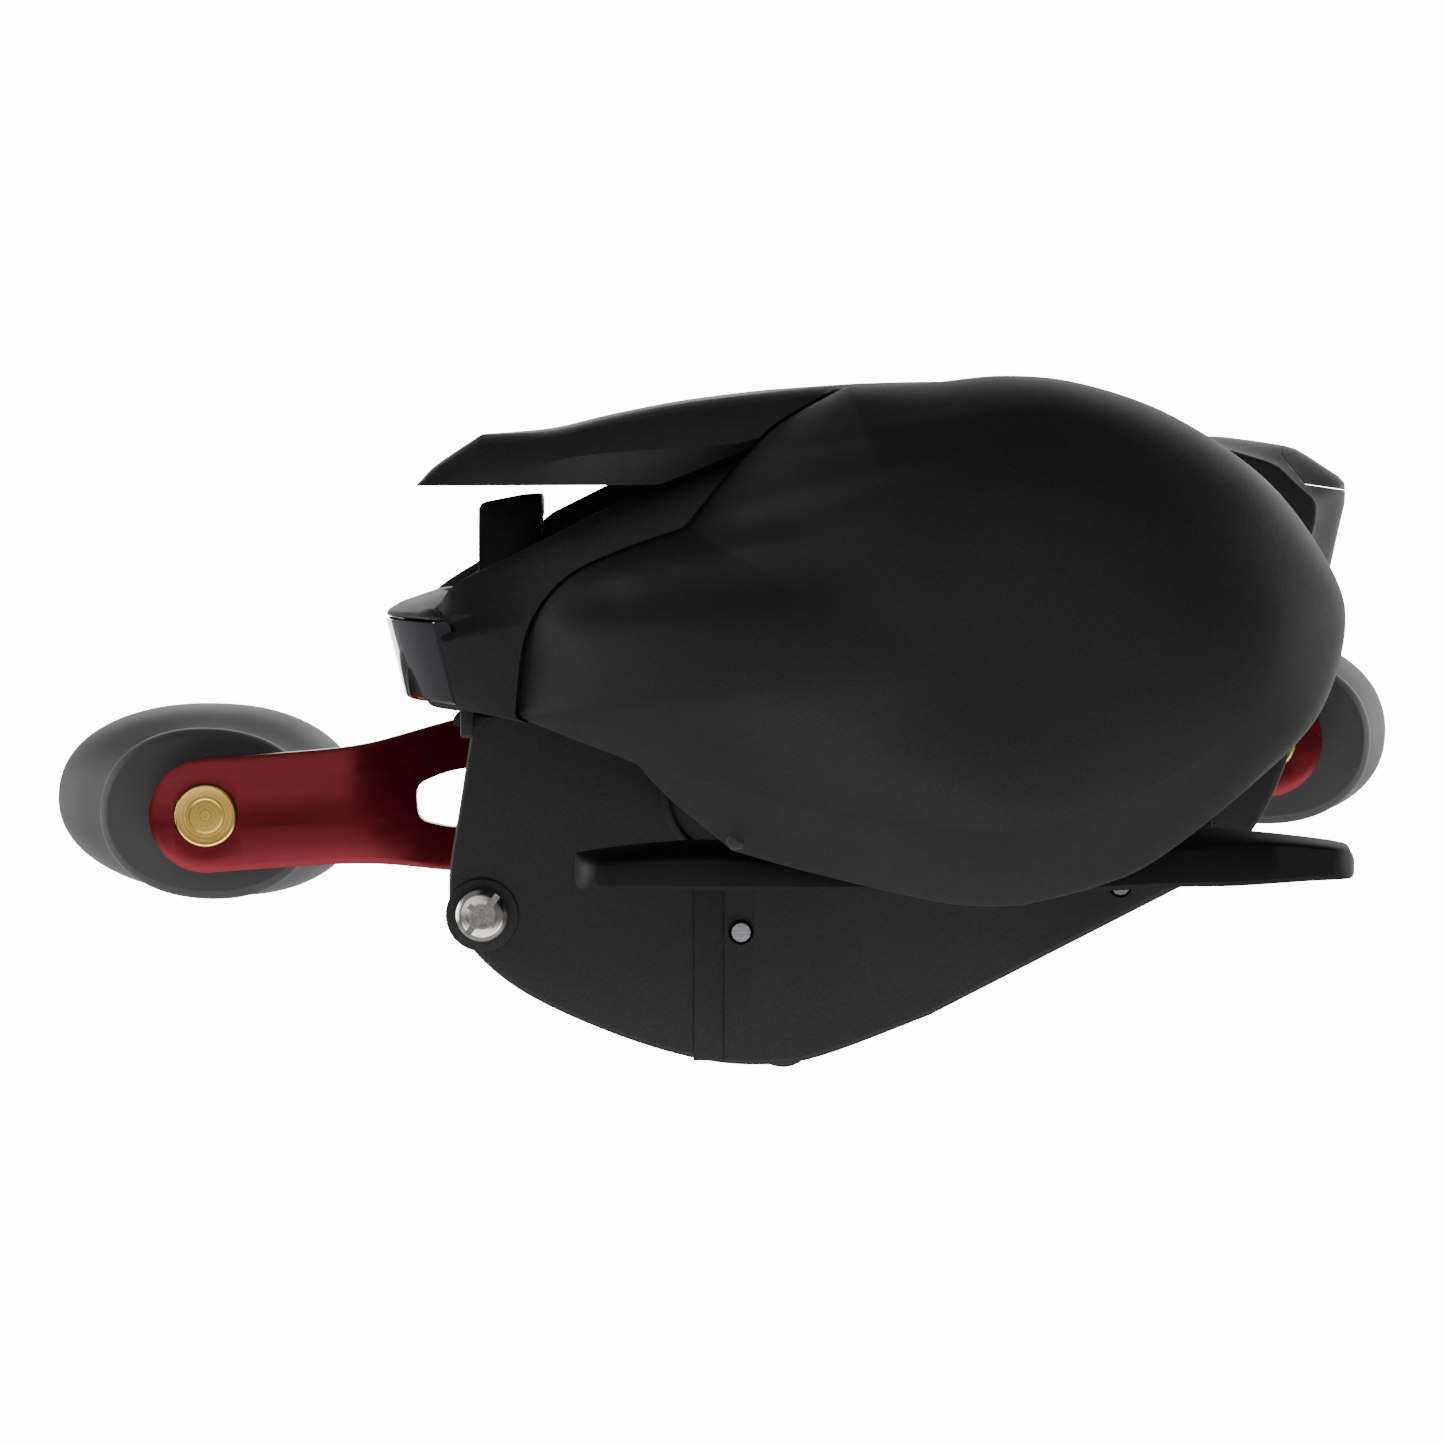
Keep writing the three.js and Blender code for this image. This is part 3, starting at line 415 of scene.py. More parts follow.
# ---- material helpers
class Shader:
    """A node material with a few shorthands."""

    def __init__(self, name, roughness, metallic=0.0, specular=0.5, coat=0.0, coat_roughness=0.1,
                 sheen=0.0):
        self.material = bpy.data.materials.new(name)
        self.material.use_nodes = True
        self.nodes = self.material.node_tree.nodes
        self.links = self.material.node_tree.links
        self.bsdf = self.nodes["Principled BSDF"]
        constants = {"Roughness": roughness, "Metallic": metallic, "Specular IOR Level": specular,
                     "Coat Weight": coat, "Coat Roughness": coat_roughness, "Sheen Weight": sheen}
        for socket, value in constants.items():
            self.bsdf.inputs[socket].default_value = value
        self.place = self.nodes.new("ShaderNodeTexCoord").outputs["Object"]

    def node(self, kind, **values):
        made = self.nodes.new(kind)
        for key, value in values.items():
            if key in made.inputs:
                made.inputs[key].default_value = value
            else:
                setattr(made, key, value)
        return made

    def stretched(self, scale, turn=(0, 0, 0), origin=(0, 0, 0)):
        made = self.node("ShaderNodeMapping", vector_type="TEXTURE", Location=origin, Rotation=turn,
                         Scale=scale)
        self.links.new(self.place, made.inputs["Vector"])
        return made.outputs["Vector"]

    def noise(self, scale, detail=3.0, vector=None, roughness=0.55):
        made = self.node("ShaderNodeTexNoise", Scale=scale, Detail=detail, Roughness=roughness)
        self.links.new(vector or self.place, made.inputs["Vector"])
        return made.outputs["Fac"]

    def bump(self, value, depth, strength=1.0):
        made = self.node("ShaderNodeBump", Strength=strength, Distance=depth * MM)
        self.links.new(value, made.inputs["Height"])
        before = self.bsdf.inputs["Normal"].links
        if before:
            self.links.new(before[0].from_socket, made.inputs["Normal"])
        self.links.new(made.outputs["Normal"], self.bsdf.inputs["Normal"])

    def set(self, socket, value):
        self.links.new(value, self.bsdf.inputs[socket])

    def tinted(self, value, low, dark, high, light):
        """Base colour from dark to light as a value goes from low to high."""
        made = self.node("ShaderNodeValToRGB")
        for stop, position, colour in zip(made.color_ramp.elements, (low, high), (dark, light)):
            stop.position = position
            stop.color = (*colour, 1)
        self.links.new(value, made.inputs["Fac"])
        self.set("Base Color", made.outputs["Color"])

    def worn(self, value, smooth, rough):
        """Roughness from smooth to rough as a noise goes over its usual range."""
        limits = {"From Min": 0.3, "From Max": 0.7, "To Min": smooth, "To Max": rough}
        made = self.node("ShaderNodeMapRange", **limits)
        self.links.new(value, made.inputs["Value"])
        self.set("Roughness", made.outputs["Result"])


def moulded_black(name, shade_level, grain, roughness=0.5, depth=0.012, specular=0.35):
    """Matte moulded resin: fine grain of a given size in mm, faint mottling."""
    look = Shader(name, roughness, specular=specular)
    fine = look.noise(1 / (grain * MM), 2.0)
    broad = look.noise(60, 3.0)
    dark, light = shade_level * 0.8, shade_level * 1.25
    look.tinted(fine, 0.3, (dark, dark, dark * 0.98), 0.7, (light, light, light * 0.96))
    look.worn(broad, roughness - 0.05, roughness + 0.07)
    look.bump(fine, depth)
    return look.material


def gloss_black(name):
    look = Shader(name, 0.09, specular=0.6, coat=0.6, coat_roughness=0.04)
    haze = look.noise(90, 4.0)
    look.tinted(haze, 0.3, (0.004, 0.004, 0.005), 0.8, (0.01, 0.01, 0.011))
    look.worn(haze, 0.06, 0.13)
    look.bump(look.noise(25, 1.0), 0.02, 0.3)
    return look.material


def anodised(name, deep, bright, along=(0, 0, 0), roughness=0.3):
    """Dyed anodised alloy with a fine brushed finish that runs along one direction."""
    look = Shader(name, roughness, metallic=0.72)
    brushed = look.noise(900, 4.0, look.stretched((14, 1, 1), along))
    cloud = look.noise(70, 3.0)
    mix = look.node("ShaderNodeMath", operation="MULTIPLY_ADD")
    look.links.new(brushed, mix.inputs[0])
    mix.inputs[1].default_value = 0.35
    look.links.new(cloud, mix.inputs[2])
    look.tinted(mix.outputs[0], 0.4, deep, 0.9, bright)
    look.worn(brushed, roughness - 0.05, roughness + 0.08)
    look.bump(brushed, 0.004, 0.5)
    return look.material


def turned_metal(name, axis, deep, bright, roughness=0.25, pitch=0.12):
    """Lathe-turned metal: fine rings about an axis across the reel."""
    look = Shader(name, roughness, metallic=1.0)
    apart = look.node("ShaderNodeSeparateXYZ")
    look.links.new(look.stretched((1, 1, 1), origin=(axis[0] * MM, 0, axis[1] * MM)), apart.inputs[0])
    flat = look.node("ShaderNodeCombineXYZ")
    look.links.new(apart.outputs["X"], flat.inputs["X"])
    look.links.new(apart.outputs["Z"], flat.inputs["Z"])
    length = look.node("ShaderNodeVectorMath", operation="LENGTH")
    look.links.new(flat.outputs[0], length.inputs[0])
    radius = look.node("ShaderNodeCombineXYZ")
    look.links.new(length.outputs["Value"], radius.inputs["X"])
    look.links.new(apart.outputs["Y"], radius.inputs["Y"])
    rings = look.noise(1 / (pitch * MM), 2.0, radius.outputs[0])
    stain = look.noise(350, 4.0)
    look.tinted(stain, 0.3, deep, 0.7, bright)
    look.worn(rings, roughness - 0.07, roughness + 0.12)
    look.bump(rings, 0.006, 0.6)
    return look.material


def soft_rubber():
    look = Shader("knob_rubber", 0.62, specular=0.35, sheen=0.2)
    fine = look.noise(3800, 2.0)
    dust = look.noise(130, 4.0)
    look.tinted(dust, 0.3, (0.022, 0.022, 0.022), 0.75, (0.034, 0.034, 0.034))
    look.worn(dust, 0.55, 0.7)
    look.bump(fine, 0.012, 0.7)
    return look.material


def pressed_felt():
    look = Shader("drag_felt", 0.9, sheen=0.3)
    weave = look.node("ShaderNodeTexVoronoi", Scale=2600.0)
    look.links.new(look.place, weave.inputs["Vector"])
    look.tinted(weave.outputs["Distance"], 0.1, (0.02, 0.018, 0.016), 0.7, (0.07, 0.06, 0.05))
    look.bump(weave.outputs["Distance"], 0.05)
    return look.material


SHELL = moulded_black("black_shell", 0.0085, 0.16, roughness=0.6, specular=0.16)
CHEEK = moulded_black("grained_shell", 0.0065, 0.34, roughness=0.5, depth=0.03, specular=0.26)
PAINTED = moulded_black("black_alloy", 0.006, 0.12, roughness=0.45, depth=0.003, specular=0.25)
CASING = moulded_black("casing_black", 0.0125, 0.18, roughness=0.56, specular=0.2)
# the frame and foot's own cast black, made darker than the other mouldings: the extra darkness is painted
# shade for the shadow the palm cover throws on the foot
CAST_BLACK_AND_SHADE = moulded_black("cast_black_and_painted_shade", 0.004, 0.2, roughness=0.55, depth=0.006, specular=0.16)
SMOOTH = moulded_black("smooth_nylon", 0.003, 0.2, roughness=0.4, depth=0.004, specular=0.12)
NYLON = moulded_black("dark_nylon", 0.012, 0.2, roughness=0.5, specular=0.35)
GLOSS = gloss_black("gloss_black")
RED = anodised("red_alloy", (0.085, 0.003, 0.006), (0.14, 0.007, 0.012), (0, -HANDLE_TILT, 0))
PALE_BRASS = (0.76, 0.46, 0.1), (0.9, 0.6, 0.17)
DEEP_BRASS = (0.5, 0.32, 0.1), (0.66, 0.45, 0.17)
NICKEL = (0.45, 0.45, 0.46), (0.62, 0.62, 0.62)
WARM_NICKEL = (0.42, 0.4, 0.37), (0.6, 0.57, 0.52)
LINES = {"drive": DRIVE, "spool": SPOOL, "worm": WORM, "screw": SCREW}
BRASS = {end: turned_metal(f"brass_{end}", axis, *PALE_BRASS, 0.22) for end, axis in KNOBS.items()}
BRASS_LINE = {line: turned_metal(f"brass_{line}", axis, *DEEP_BRASS) for line, axis in LINES.items()}
STEEL = {line: turned_metal(f"steel_{line}", LINES[line], *NICKEL) for line in ("drive", "spool", "worm")}
STEEL["screw"] = turned_metal("steel_screw", SCREW, *WARM_NICKEL, 0.2, 0.3)
SPOOL_ALLOY = turned_metal("spool_alloy", SPOOL, (0.025, 0.025, 0.028), (0.06, 0.06, 0.066), 0.26)
RUBBER = soft_rubber()
FELT = pressed_felt()
CERAMIC = gloss_black("ceramic")
LOOKS = {"black_shell": SHELL, "black_alloy": PAINTED, "gloss_black": GLOSS, "red_alloy": RED,
         "dark_nylon": NYLON, "drag_felt": FELT, "knob_rubber": RUBBER, "ceramic": CERAMIC,
         "spool_alloy": SPOOL_ALLOY}

BODY_OF = {node: body for body, nodes in RECORD["behaviour"]["bodies"].items() for node in nodes}
SLOT_OF = {part["node"]: part["material_slot"] for part in RECORD["subparts"]}
DRESSED = set()


def dress(piece, material, node):
    """Gives a piece its material and the body of the node that it stands for, and hides that node."""
    piece.data.materials.clear()
    piece.data.materials.append(material)
    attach(piece, BODY_OF[node])
    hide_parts(node)
    DRESSED.add(node)
    return piece


# ---- palm cover
# soft ridges and hollows that run back from the front seam: line, height, half width
FLUTES = [
    ([(-15.5, 32.0), (-12.4, 32.7), (-5.4, 33.6), (1.6, 34.6), (8, 35)], 0.42, 0.9),
    ([(-20.5, 27.3), (-16, 28.3), (-11.2, 29.7), (-6.3, 31.1), (-1.2, 32.4), (4, 33.4)], 0.5, 1.0),
    ([(-27.5, 22.8), (-22, 24.6), (-16.5, 25.3), (-12.2, 26.2), (-8, 28.2), (-3, 30.2)], 0.65, 1.1),
    ([(-30.5, 20.6), (-25, 21.6), (-19, 22.4), (-13.2, 23.3), (-9.5, 24.9), (-6.5, 27.2)], -1.0, 1.5),
]
# the lower crease, below which the cover turns under towards its rim
CREASE = [(-24.0, 10.2), (-19.4, 9.0), (-15, 7.9), (-10.6, 6.9), (-5.4, 6.2), (2.5, 5.6), (8.7, 7.4),
          (14.9, 10.4), (20, 14)]
TUCK = 0.55  # how sharply the tucked band falls away
RIM_BAND = 0.35  # the straight band at the rim
PALM_WALL = 1.3


def palm_depth(x, z, share, angle, edge, crown):
    """How far the cover stands out beyond its rim, at a share of the way to the edge in a direction."""
    forward = ramp(-math.cos(angle), -0.5, 0.95)
    sharp, fall = 3.9 - 1.8 * forward, 0.5 + 0.22 * forward
    depth = crown * max(1 - share ** sharp, 0.0) ** fall
    crease = height_on(CREASE, x)
    if z < crease and math.sin(angle) < 0:
        edge_z = PALM_CENTRE[1] + edge * math.sin(angle)
        below = min(max((crease - z) / max(crease - edge_z, 0.5), 0.0), 1.0)
        strength = ramp(x, -24, -14) * (1 - ramp(x, 10, 20))
        depth -= depth * TUCK * below ** 1.3 * strength
    for line, height, half in FLUTES:
        gap, part = along_curve(line, x, z)
        fade = ramp(part, 0.0, 0.22) * (1 - ramp(part, 0.45, 1.0))
        depth += height * fade * math.exp(-((gap / half) ** 2)) * ramp(1 - share, 0.0, 0.06)
    return max(depth, 0.0)


AROUND = 480
PALM_REACH = reaches_of(PALM_OUTLINE, PALM_CENTRE, AROUND)

PALM_EVEN = blurred(PALM_REACH, AROUND // 10)


def palm_skin(crown, inset, rings):
    """One skin of the palm cover as rows of corners from the middle out to the rim."""
    rows = []
    for r in range(rings + 1):
        share = math.sin(0.5 * math.pi * r / rings)
        row = []
        for c, (edge, even) in enumerate(zip(PALM_REACH, PALM_EVEN)):
            angle = TURN * c / AROUND
            out = share * (even - inset + (edge - even) * share ** 3)
            x = PALM_CENTRE[0] + out * math.cos(angle)
            z = PALM_CENTRE[1] + out * math.sin(angle)
            depth = palm_depth(x, z, share, angle, edge - inset, crown)
            row.append((x, PALM_RIM - RIM_BAND - depth, z))
        rows.append(row)
    return rows


PALM_ROOM = grown(PALM_OUTLINE, PALM_CENTRE, 0.22, AROUND)  # the cover and its seam, for its neighbours


def make_palm_cover():
    crown = PALM_RIM - RIM_BAND - PALM_CROWN
    outer = palm_skin(crown, 0, 90)
    inner = palm_skin(crown - PALM_WALL, PALM_WALL, 30)
    rim = [[(x, PALM_RIM, z) for x, _, z in skin[-1]] for skin in (outer, inner)]
    return skinned("palm_cover_shell", outer + rim + inner[::-1], 50)


# ---- front cover and nose plate
NOSE = {"end": -38.3, "middle": -42.6, "half": 17.75, "lean": 1.5, "z": (14.0, 19.9)}
NOSE_NEAR = NEAR_FACE + 0.65  # the cheek covers the plate's near end by this much
CHEEK_TOP = [(-38.3, 20.6), (-37.3, 22.3), (-35, 23.6), (-30.6, 25.8), (-25.8, 28.2), (-22, 29.5),
             (-14.6, 32.6)]
CHEEK_CREASE = [(-37.9, 18.5), (-36.2, 18.8), (-34, 19.2), (-31.4, 19.8), (-28.4, 22.6), (-24.4, 24.4),
                (-15.5, 28.0)]
CHEEK_FOOT = [(-13, 29), (-24, 22), (-29.8, 18), (-29.8, 12.3), (-36.8, 13.75)]
CHEEK_INSIDE = NEAR_FACE + 4.5
WORM_BORE = 2.9


def nose_front(y):
    """The x of the nose's bowed face."""
    return NOSE["end"] + (NOSE["middle"] - NOSE["end"]) * (1 - (y / NOSE["half"]) ** 2)


def bowed_bar(name, section, y0, y1, steps=48):
    """A bar along the bow of the nose; the section is (behind the nose's face, z)."""
    low, high = NOSE["z"]
    rings = []
    for k in range(steps + 1):
        y = y0 + (y1 - y0) * k / steps
        lean = NOSE["lean"] / (high - low)
        rings.append([(nose_front(y) + back + lean * (high - z), y, z) for back, z in section])
    return lofted(name, rings, 30)


def make_nose_plate():
    low, high = NOSE["z"]
    section = rounded([(0, low), (1.2, low), (1.2, high), (0, high)], 0.35)
    return bowed_bar("nose_trim", section, NOSE_NEAR + 0.15, GEAR_WALL[0] - 0.4)


def near_cheek_rings():
    """The near cheek from its outer face inwards: flat below the crease, rolled over above it."""
    deep, steps = 3.4, 10
    crease = curve_through(CHEEK_CREASE, 6) + [CHEEK_CREASE[-1]]
    top = curve_through(CHEEK_TOP, 6) + [CHEEK_TOP[-1]]
    foot = [(x, NEAR_FACE, z) for x, z in CHEEK_FOOT]
    rings = []
    for k in range(steps + 1):
        t = k / steps
        ring = []
        for (x0, z0), (x1, z1) in zip(crease, top):
            rolled = 1 - math.sqrt(1 - t * t)
            blend = ramp(x0, -34, -29)
            y = NEAR_FACE + deep * (t + (rolled - t) * blend)
            ring.append((x0 + (x1 - x0) * t, y, z0 + (z1 - z0) * t))
        back = NEAR_FACE + deep * t
        rings.append(ring + [(x, back, z) for x, _, z in foot])
    rings.append([(x, CHEEK_INSIDE, z) for x, _, z in rings[-1]])
    return rings


def make_near_cheek():
    low, high = NOSE["z"]
    piece = bevelled(lofted("near_cheek", near_cheek_rings(), 30), 0.22, 2, 50)
    cut(piece, slab("palm_room", PALM_ROOM, NEAR_FACE - 3, CHEEK_INSIDE + 1, 0))
    room = [(-2, low - 0.25), (1.45, low - 0.25), (1.45, high + 0.2), (-2, high + 0.2)]
    return cut(piece, bowed_bar("nose_room", room, NOSE_NEAR, 20))


def make_far_cheek():
    raised = [(x, z + 1.55 * ramp(x, -36, -31)) for x, z in CHEEK_TOP]
    piece = slab("far_cheek", raised + CHEEK_FOOT, GEAR_WALL[0] - 2.6, GEAR_WALL[0] - 0.3, 0.3)
    return cut(piece, slab("handle_room", grown(PALM_OUTLINE, PALM_CENTRE, -1.6), 10, 20, 0))


def make_front_wall():
    """The wall behind the nose plate with the sloping deck on top of it."""
    high = NOSE["z"][1]
    foot = high + 0.12  # where the deck starts
    section = rounded([(1.5, 13.4), (1.5, foot), (0.1, foot), (0.3, high + 0.5), (1.4, high + 1.1),
                       (4.6, high + 2.1), (4.6, high + 0.9), (2.5, high - 0.4), (2.5, 13.4)], 0.3)
    piece = bowed_bar("wall", section, NEAR_FACE + 1.5, GEAR_WALL[0] - 2.4)
    for vert in piece.data.vertices:
        x, y, z = vert.co / MM
        if z > high + 0.3:  # the deck rises to meet the cheek's top edge and sinks into it at its end
            meets = (1 - ramp(y, NEAR_FACE + 3.4, NEAR_FACE + 9)) * ramp(x - nose_front(y), 0.3, 2.0)
            z += (height_on(CHEEK_TOP, x) - z) * meets
            vert.co.z = (foot + (z - foot) * ramp(y, NEAR_FACE + 1.5, NEAR_FACE + 4.0)) * MM
    return piece


def make_front_cover():
    near, far = make_near_cheek(), make_far_cheek()
    wall = make_front_wall()
    trough = box_piece("trough", (-37.2, -30), (CHEEK_INSIDE - 0.3, GEAR_WALL[0] - 2.4), (12.3, 12.95))
    block = [(-36.9, 13.8), (-37.9, 20.4), (-29.8, 20.4), (-29.8, 13.8)]
    near_block = slab("near_block", block, CHEEK_INSIDE - 3.3, CHEEK_INSIDE - 0.05, 0)
    far_block = slab("far_block", block, GEAR_WALL[0] - 2.65, GEAR_WALL[0] - 0.4, 0)
    for part in (near, near_block):
        drilled(part, (WORM, WORM_BORE, CHEEK_INSIDE - 2.6, CHEEK_INSIDE + 1))
    for part in (far, far_block):
        drilled(part, (WORM, WORM_BORE, GEAR_WALL[0] - 3.6, GEAR_WALL[0] + 1))
    tab = box_piece("tab", (-36.7, -35.7), (CHEEK_INSIDE - 1.4, CHEEK_INSIDE - 0.4), (11.5, 14.2), 0.25)
    piece = joined(near, far, wall, trough, near_block, far_block, tab)
    piece.name = "front_cover_moulding"
    return piece


# ---- top hood
ROOF = curve_through([(-39.7, 29.75), (-38.4, 31.1), (-35.2, 33.25)], 6) + curve_through(
    [(-35.2, 33.25), (-32.5, 33.35), (-29.7, 33.6), (-25.4, 34.6), (-19.3, 35.7), (-9, 36.8),
     (-2, 37.1)], 8)
SKIRT_FOOT = [(-39.7, 29.6), (-22.4, 29.65), (-16.1, 32.2), (-2, 36)]
SIDE_CREASE = [(-39.7, 29.68), (-32.6, 30.3), (-29.5, 31.5), (-26.8, 31.9), (-16.9, 32.6), (-2, 36.5)]


def make_hood():
    near, far = PALM_RIM, GEAR_WALL[0] + 0.6
    middle, half = (near + far) / 2, (far - near) / 2
    rings = []
    for x, roof in ROOF:
        foot, crease = height_on(SKIRT_FOOT, x), height_on(SIDE_CREASE, x)
        crease = min(max(crease, foot + 0.03), roof - 0.02)
        crown = 0.25 * ramp(x, -37, -28)
        tuck = 0.9 * ramp(x, -33, -27)
        rise = roof - crease
        side = [(half - tuck, foot), (half - 0.1, crease), (half - 0.5, crease + 0.35 * rise),
                (half - 1.5, crease + 0.8 * rise), (half - 3, roof - 0.02)]
        arch = [(half * s, roof + crown * (1 - (s / 0.8) ** 2)) for s in (0.7, 0.5, 0.3, 0.1)]
        profile = side + arch
        ring = [(x, middle - y, z) for y, z in profile] + [(x, middle + y, z) for y, z in profile[::-1]]
        rings.append(ring)
    piece = lofted("hood_moulding", rings, 24)
    under = outline((-41, 26), [
        [(-37.6, 29.5), (-34.2, 31.7)],
        [(-29.7, 32), (-25.4, 33.1), (-19.3, 34.2), (-9, 35.2)],
        [(0, 36)],
        [(0, 26)],
        [(-41, 26)],
    ])
    cut(piece, slab("under", under, near + 1.9, far - 1.6, 0))
    cut(piece, slab("palm_room", PALM_ROOM, -100, NEAR_FACE + 3, 0))
    return cut(piece, upright("thumb_room", 13.2, (-1.5, -1), 20, 45, 96))


# ---- gearbox
THROUGH_WALL = (12, 18)
THROUGH_CROWN = (24, 33)
DRIVE_PORT, SPOOL_PORT, SCREW_BORE = 7.8, 3.6, 1.3


def make_gear_plate():
    reaches = reaches_of(GEAR_OUTLINE, GEAR_CENTRE, 360)
    outs = [out - pinch(TURN * c / 360, GEAR_RIM) for c, out in enumerate(reaches)]
    piece = slab("gearbox_wall", ring_at(GEAR_CENTRE, outs), *GEAR_WALL, 0.45)
    drive_boss = turned("drive_boss", [(0, 13.5), (4.9, 13.5), (5.1, 13.1), (5.65, 13.1), (5.65, 15.2),
                                       (4.4, 15.2), (4.4, 13.9), (0, 13.9)], DRIVE, 0.12)
    screw_boss = slab("screw_boss", circle(SCREW, 2.75), GEAR_WALL[0] - 0.2, GEAR_WALL[0] + 0.4, 0.1)
    drilled(screw_boss, (SCREW, SCREW_BORE, *THROUGH_WALL))
    band = box_piece("band", (-20.1, -17.8), (GEAR_WALL[0] - 0.15, GEAR_WALL[0] + 0.5), (-14, 1), 0.12)
    bores = [(DRIVE, 4.4), (SPOOL, 4.8), (WORM, WORM_BORE), (SCREW, SCREW_BORE)]
    for axis, radius in bores + [(pin, 0.95) for pin in DOWELS]:
        drilled(piece, (axis, radius, *THROUGH_WALL))
    cut(piece, box_piece("tang_slot", TANG, (14, 18), (SPOOL[1] - 1.6, SPOOL[1] + 4.8)))
    posts = [rod("post", 1.0, middle_of(f"yoke_spring_{end}"), GEAR_WALL[1] - 0.3, GEAR_WALL[1] + 6.7, 32)
             for end in ("upper", "lower")]
    return joined(piece, drive_boss, screw_boss, band, *posts)


GEAR_CROWN = 26.2
FLANK_TOP = GEAR_RIM + 5.7  # where the straight flank ends and the rounded edge starts
CAP_EDGE = [(24.6, 40), (24.6, 31.4), (26.2, 29.4), (40, 27.4), (40, 40)]


def make_gear_shell(name):
    """The gearbox's moulded shell; each skin is (share of the reach, y) from the middle to the rim."""
    side = curve_through([(1, FLANK_TOP), (0.992, 24.2), (0.965, 25.4), (0.91, 26.05), (0.84, GEAR_CROWN)],
                         5)
    flank = [(1, GEAR_RIM + (FLANK_TOP - GEAR_RIM) * k / 8) for k in range(7, -1, -1)]
    outer = [(0, GEAR_CROWN), (0.4, GEAR_CROWN), (0.7, GEAR_CROWN)] + side[::-1] + flank
    under = GEAR_CROWN - 1.5
    inner = [(0, under), (0.6, under), (0.96, under - 0.1), (1, 23.7)] + flank
    wall = 1.1
    reaches = reaches_of(GEAR_OUTLINE, GEAR_CENTRE, 360)
    rows = []
    for share, y, inset in [(*spot, 0) for spot in outer] + [(*spot, wall) for spot in inner[::-1]]:
        outs = [share * (out - inset - pinch(TURN * c / 360, y)) for c, out in enumerate(reaches)]
        rows.append([(x, y, z) for x, z in ring_at(GEAR_CENTRE, outs)])
    return skinned(name, rows, 40)


def make_gear_cover():
    piece = make_gear_shell("gearbox_cover")
    drive_boss = turned("drive_boss", [(DRIVE_PORT, 25), (10.6, 25), (10.2, 26.4), (9.4, 29.4),
                                       (8.8, BOSS_TOP), (DRIVE_PORT, BOSS_TOP)], DRIVE, 0.6)
    spool_ring = [(SPOOL_PORT, 25), (4.6, 25), (4.6, 29), (SPOOL_PORT, 29)]
    spool_boss = turned("spool_boss", spool_ring, SPOOL, 0.2)
    screw_post = [(SCREW_BORE, GEAR_RIM), (2.2, GEAR_RIM), (2.2, 25), (SCREW_BORE, 25)]
    screw_boss = turned("screw_boss", screw_post, SCREW, 0.1)
    drilled(piece, (DRIVE, DRIVE_PORT, *THROUGH_CROWN), (SPOOL, SPOOL_PORT, *THROUGH_CROWN))
    seam = [(x - 0.03, z - 0.03) for x, z in CAP_EDGE[:4]] + CAP_EDGE[4:]
    cut(piece, slab("cap_room", seam, 0, 40, 0))
    return joined(piece, drive_boss, spool_boss, screw_boss)


def make_gear_cap():
    return cut(make_gear_shell("gearbox_cap"), slab("cap_zone", CAP_EDGE, 0, 40, 0), "INTERSECT")


# ---- frame and foot
FOOT_FRONT, FOOT_REAR = -28.75, 28.5
FOOT_TOP = curve_through([(-28.75, 2.1), (-28.2, 2.6), (-19.5, 3.45), (-10, 2.9), (9, 3), (14, 4.4),
                          (20.8, 4.1), (27.2, 3.35), (28.1, 2.8), (28.5, 2.1)], 6)
FOOT_HALF = 6.4
SPOOL_ROOM = 16.35


def round_end(distance, radius):
    """The height, as a share, of a quarter circle at a distance from its start."""
    return math.sqrt(max(1 - (1 - min(distance / radius, 1)) ** 2, 0))


def make_foot():
    stations = 120
    rings = []
    for k in range(stations + 1):
        x = FOOT_FRONT + (FOOT_REAR - FOOT_FRONT) * 0.5 * (1 - math.cos(math.pi * k / stations))
        end = min(x - FOOT_FRONT, FOOT_REAR - x)
        blunt = max(round_end(end, 2.2), 0.04)
        half = (FOOT_HALF - 1.8 * ramp(abs(x + 0.1), 10, 26)) * blunt
        low = 0.5 * (1 - round_end(end, 0.6)) + 0.3 * ramp(x, 8, 16) + 0.45 * ramp(x, 18, 28)
        top = height_on(FOOT_TOP, x)
        side = low + (top - low) * (0.62 if x < 0 else 0.55 + 0.25 * ramp(x, 12, 24))
        arch = [(half * math.cos(a), side + (top - side) * math.sin(a))
                for a in (math.radians(15 * q) for q in range(13))]
        corner = 0.35 * blunt
        section = [(-half, low + 0.35), (-half + corner, low), (half - corner, low), (half, low + 0.35)]
        rings.append([(x, y, z) for y, z in section + arch])
    return lofted("foot", rings, 40)


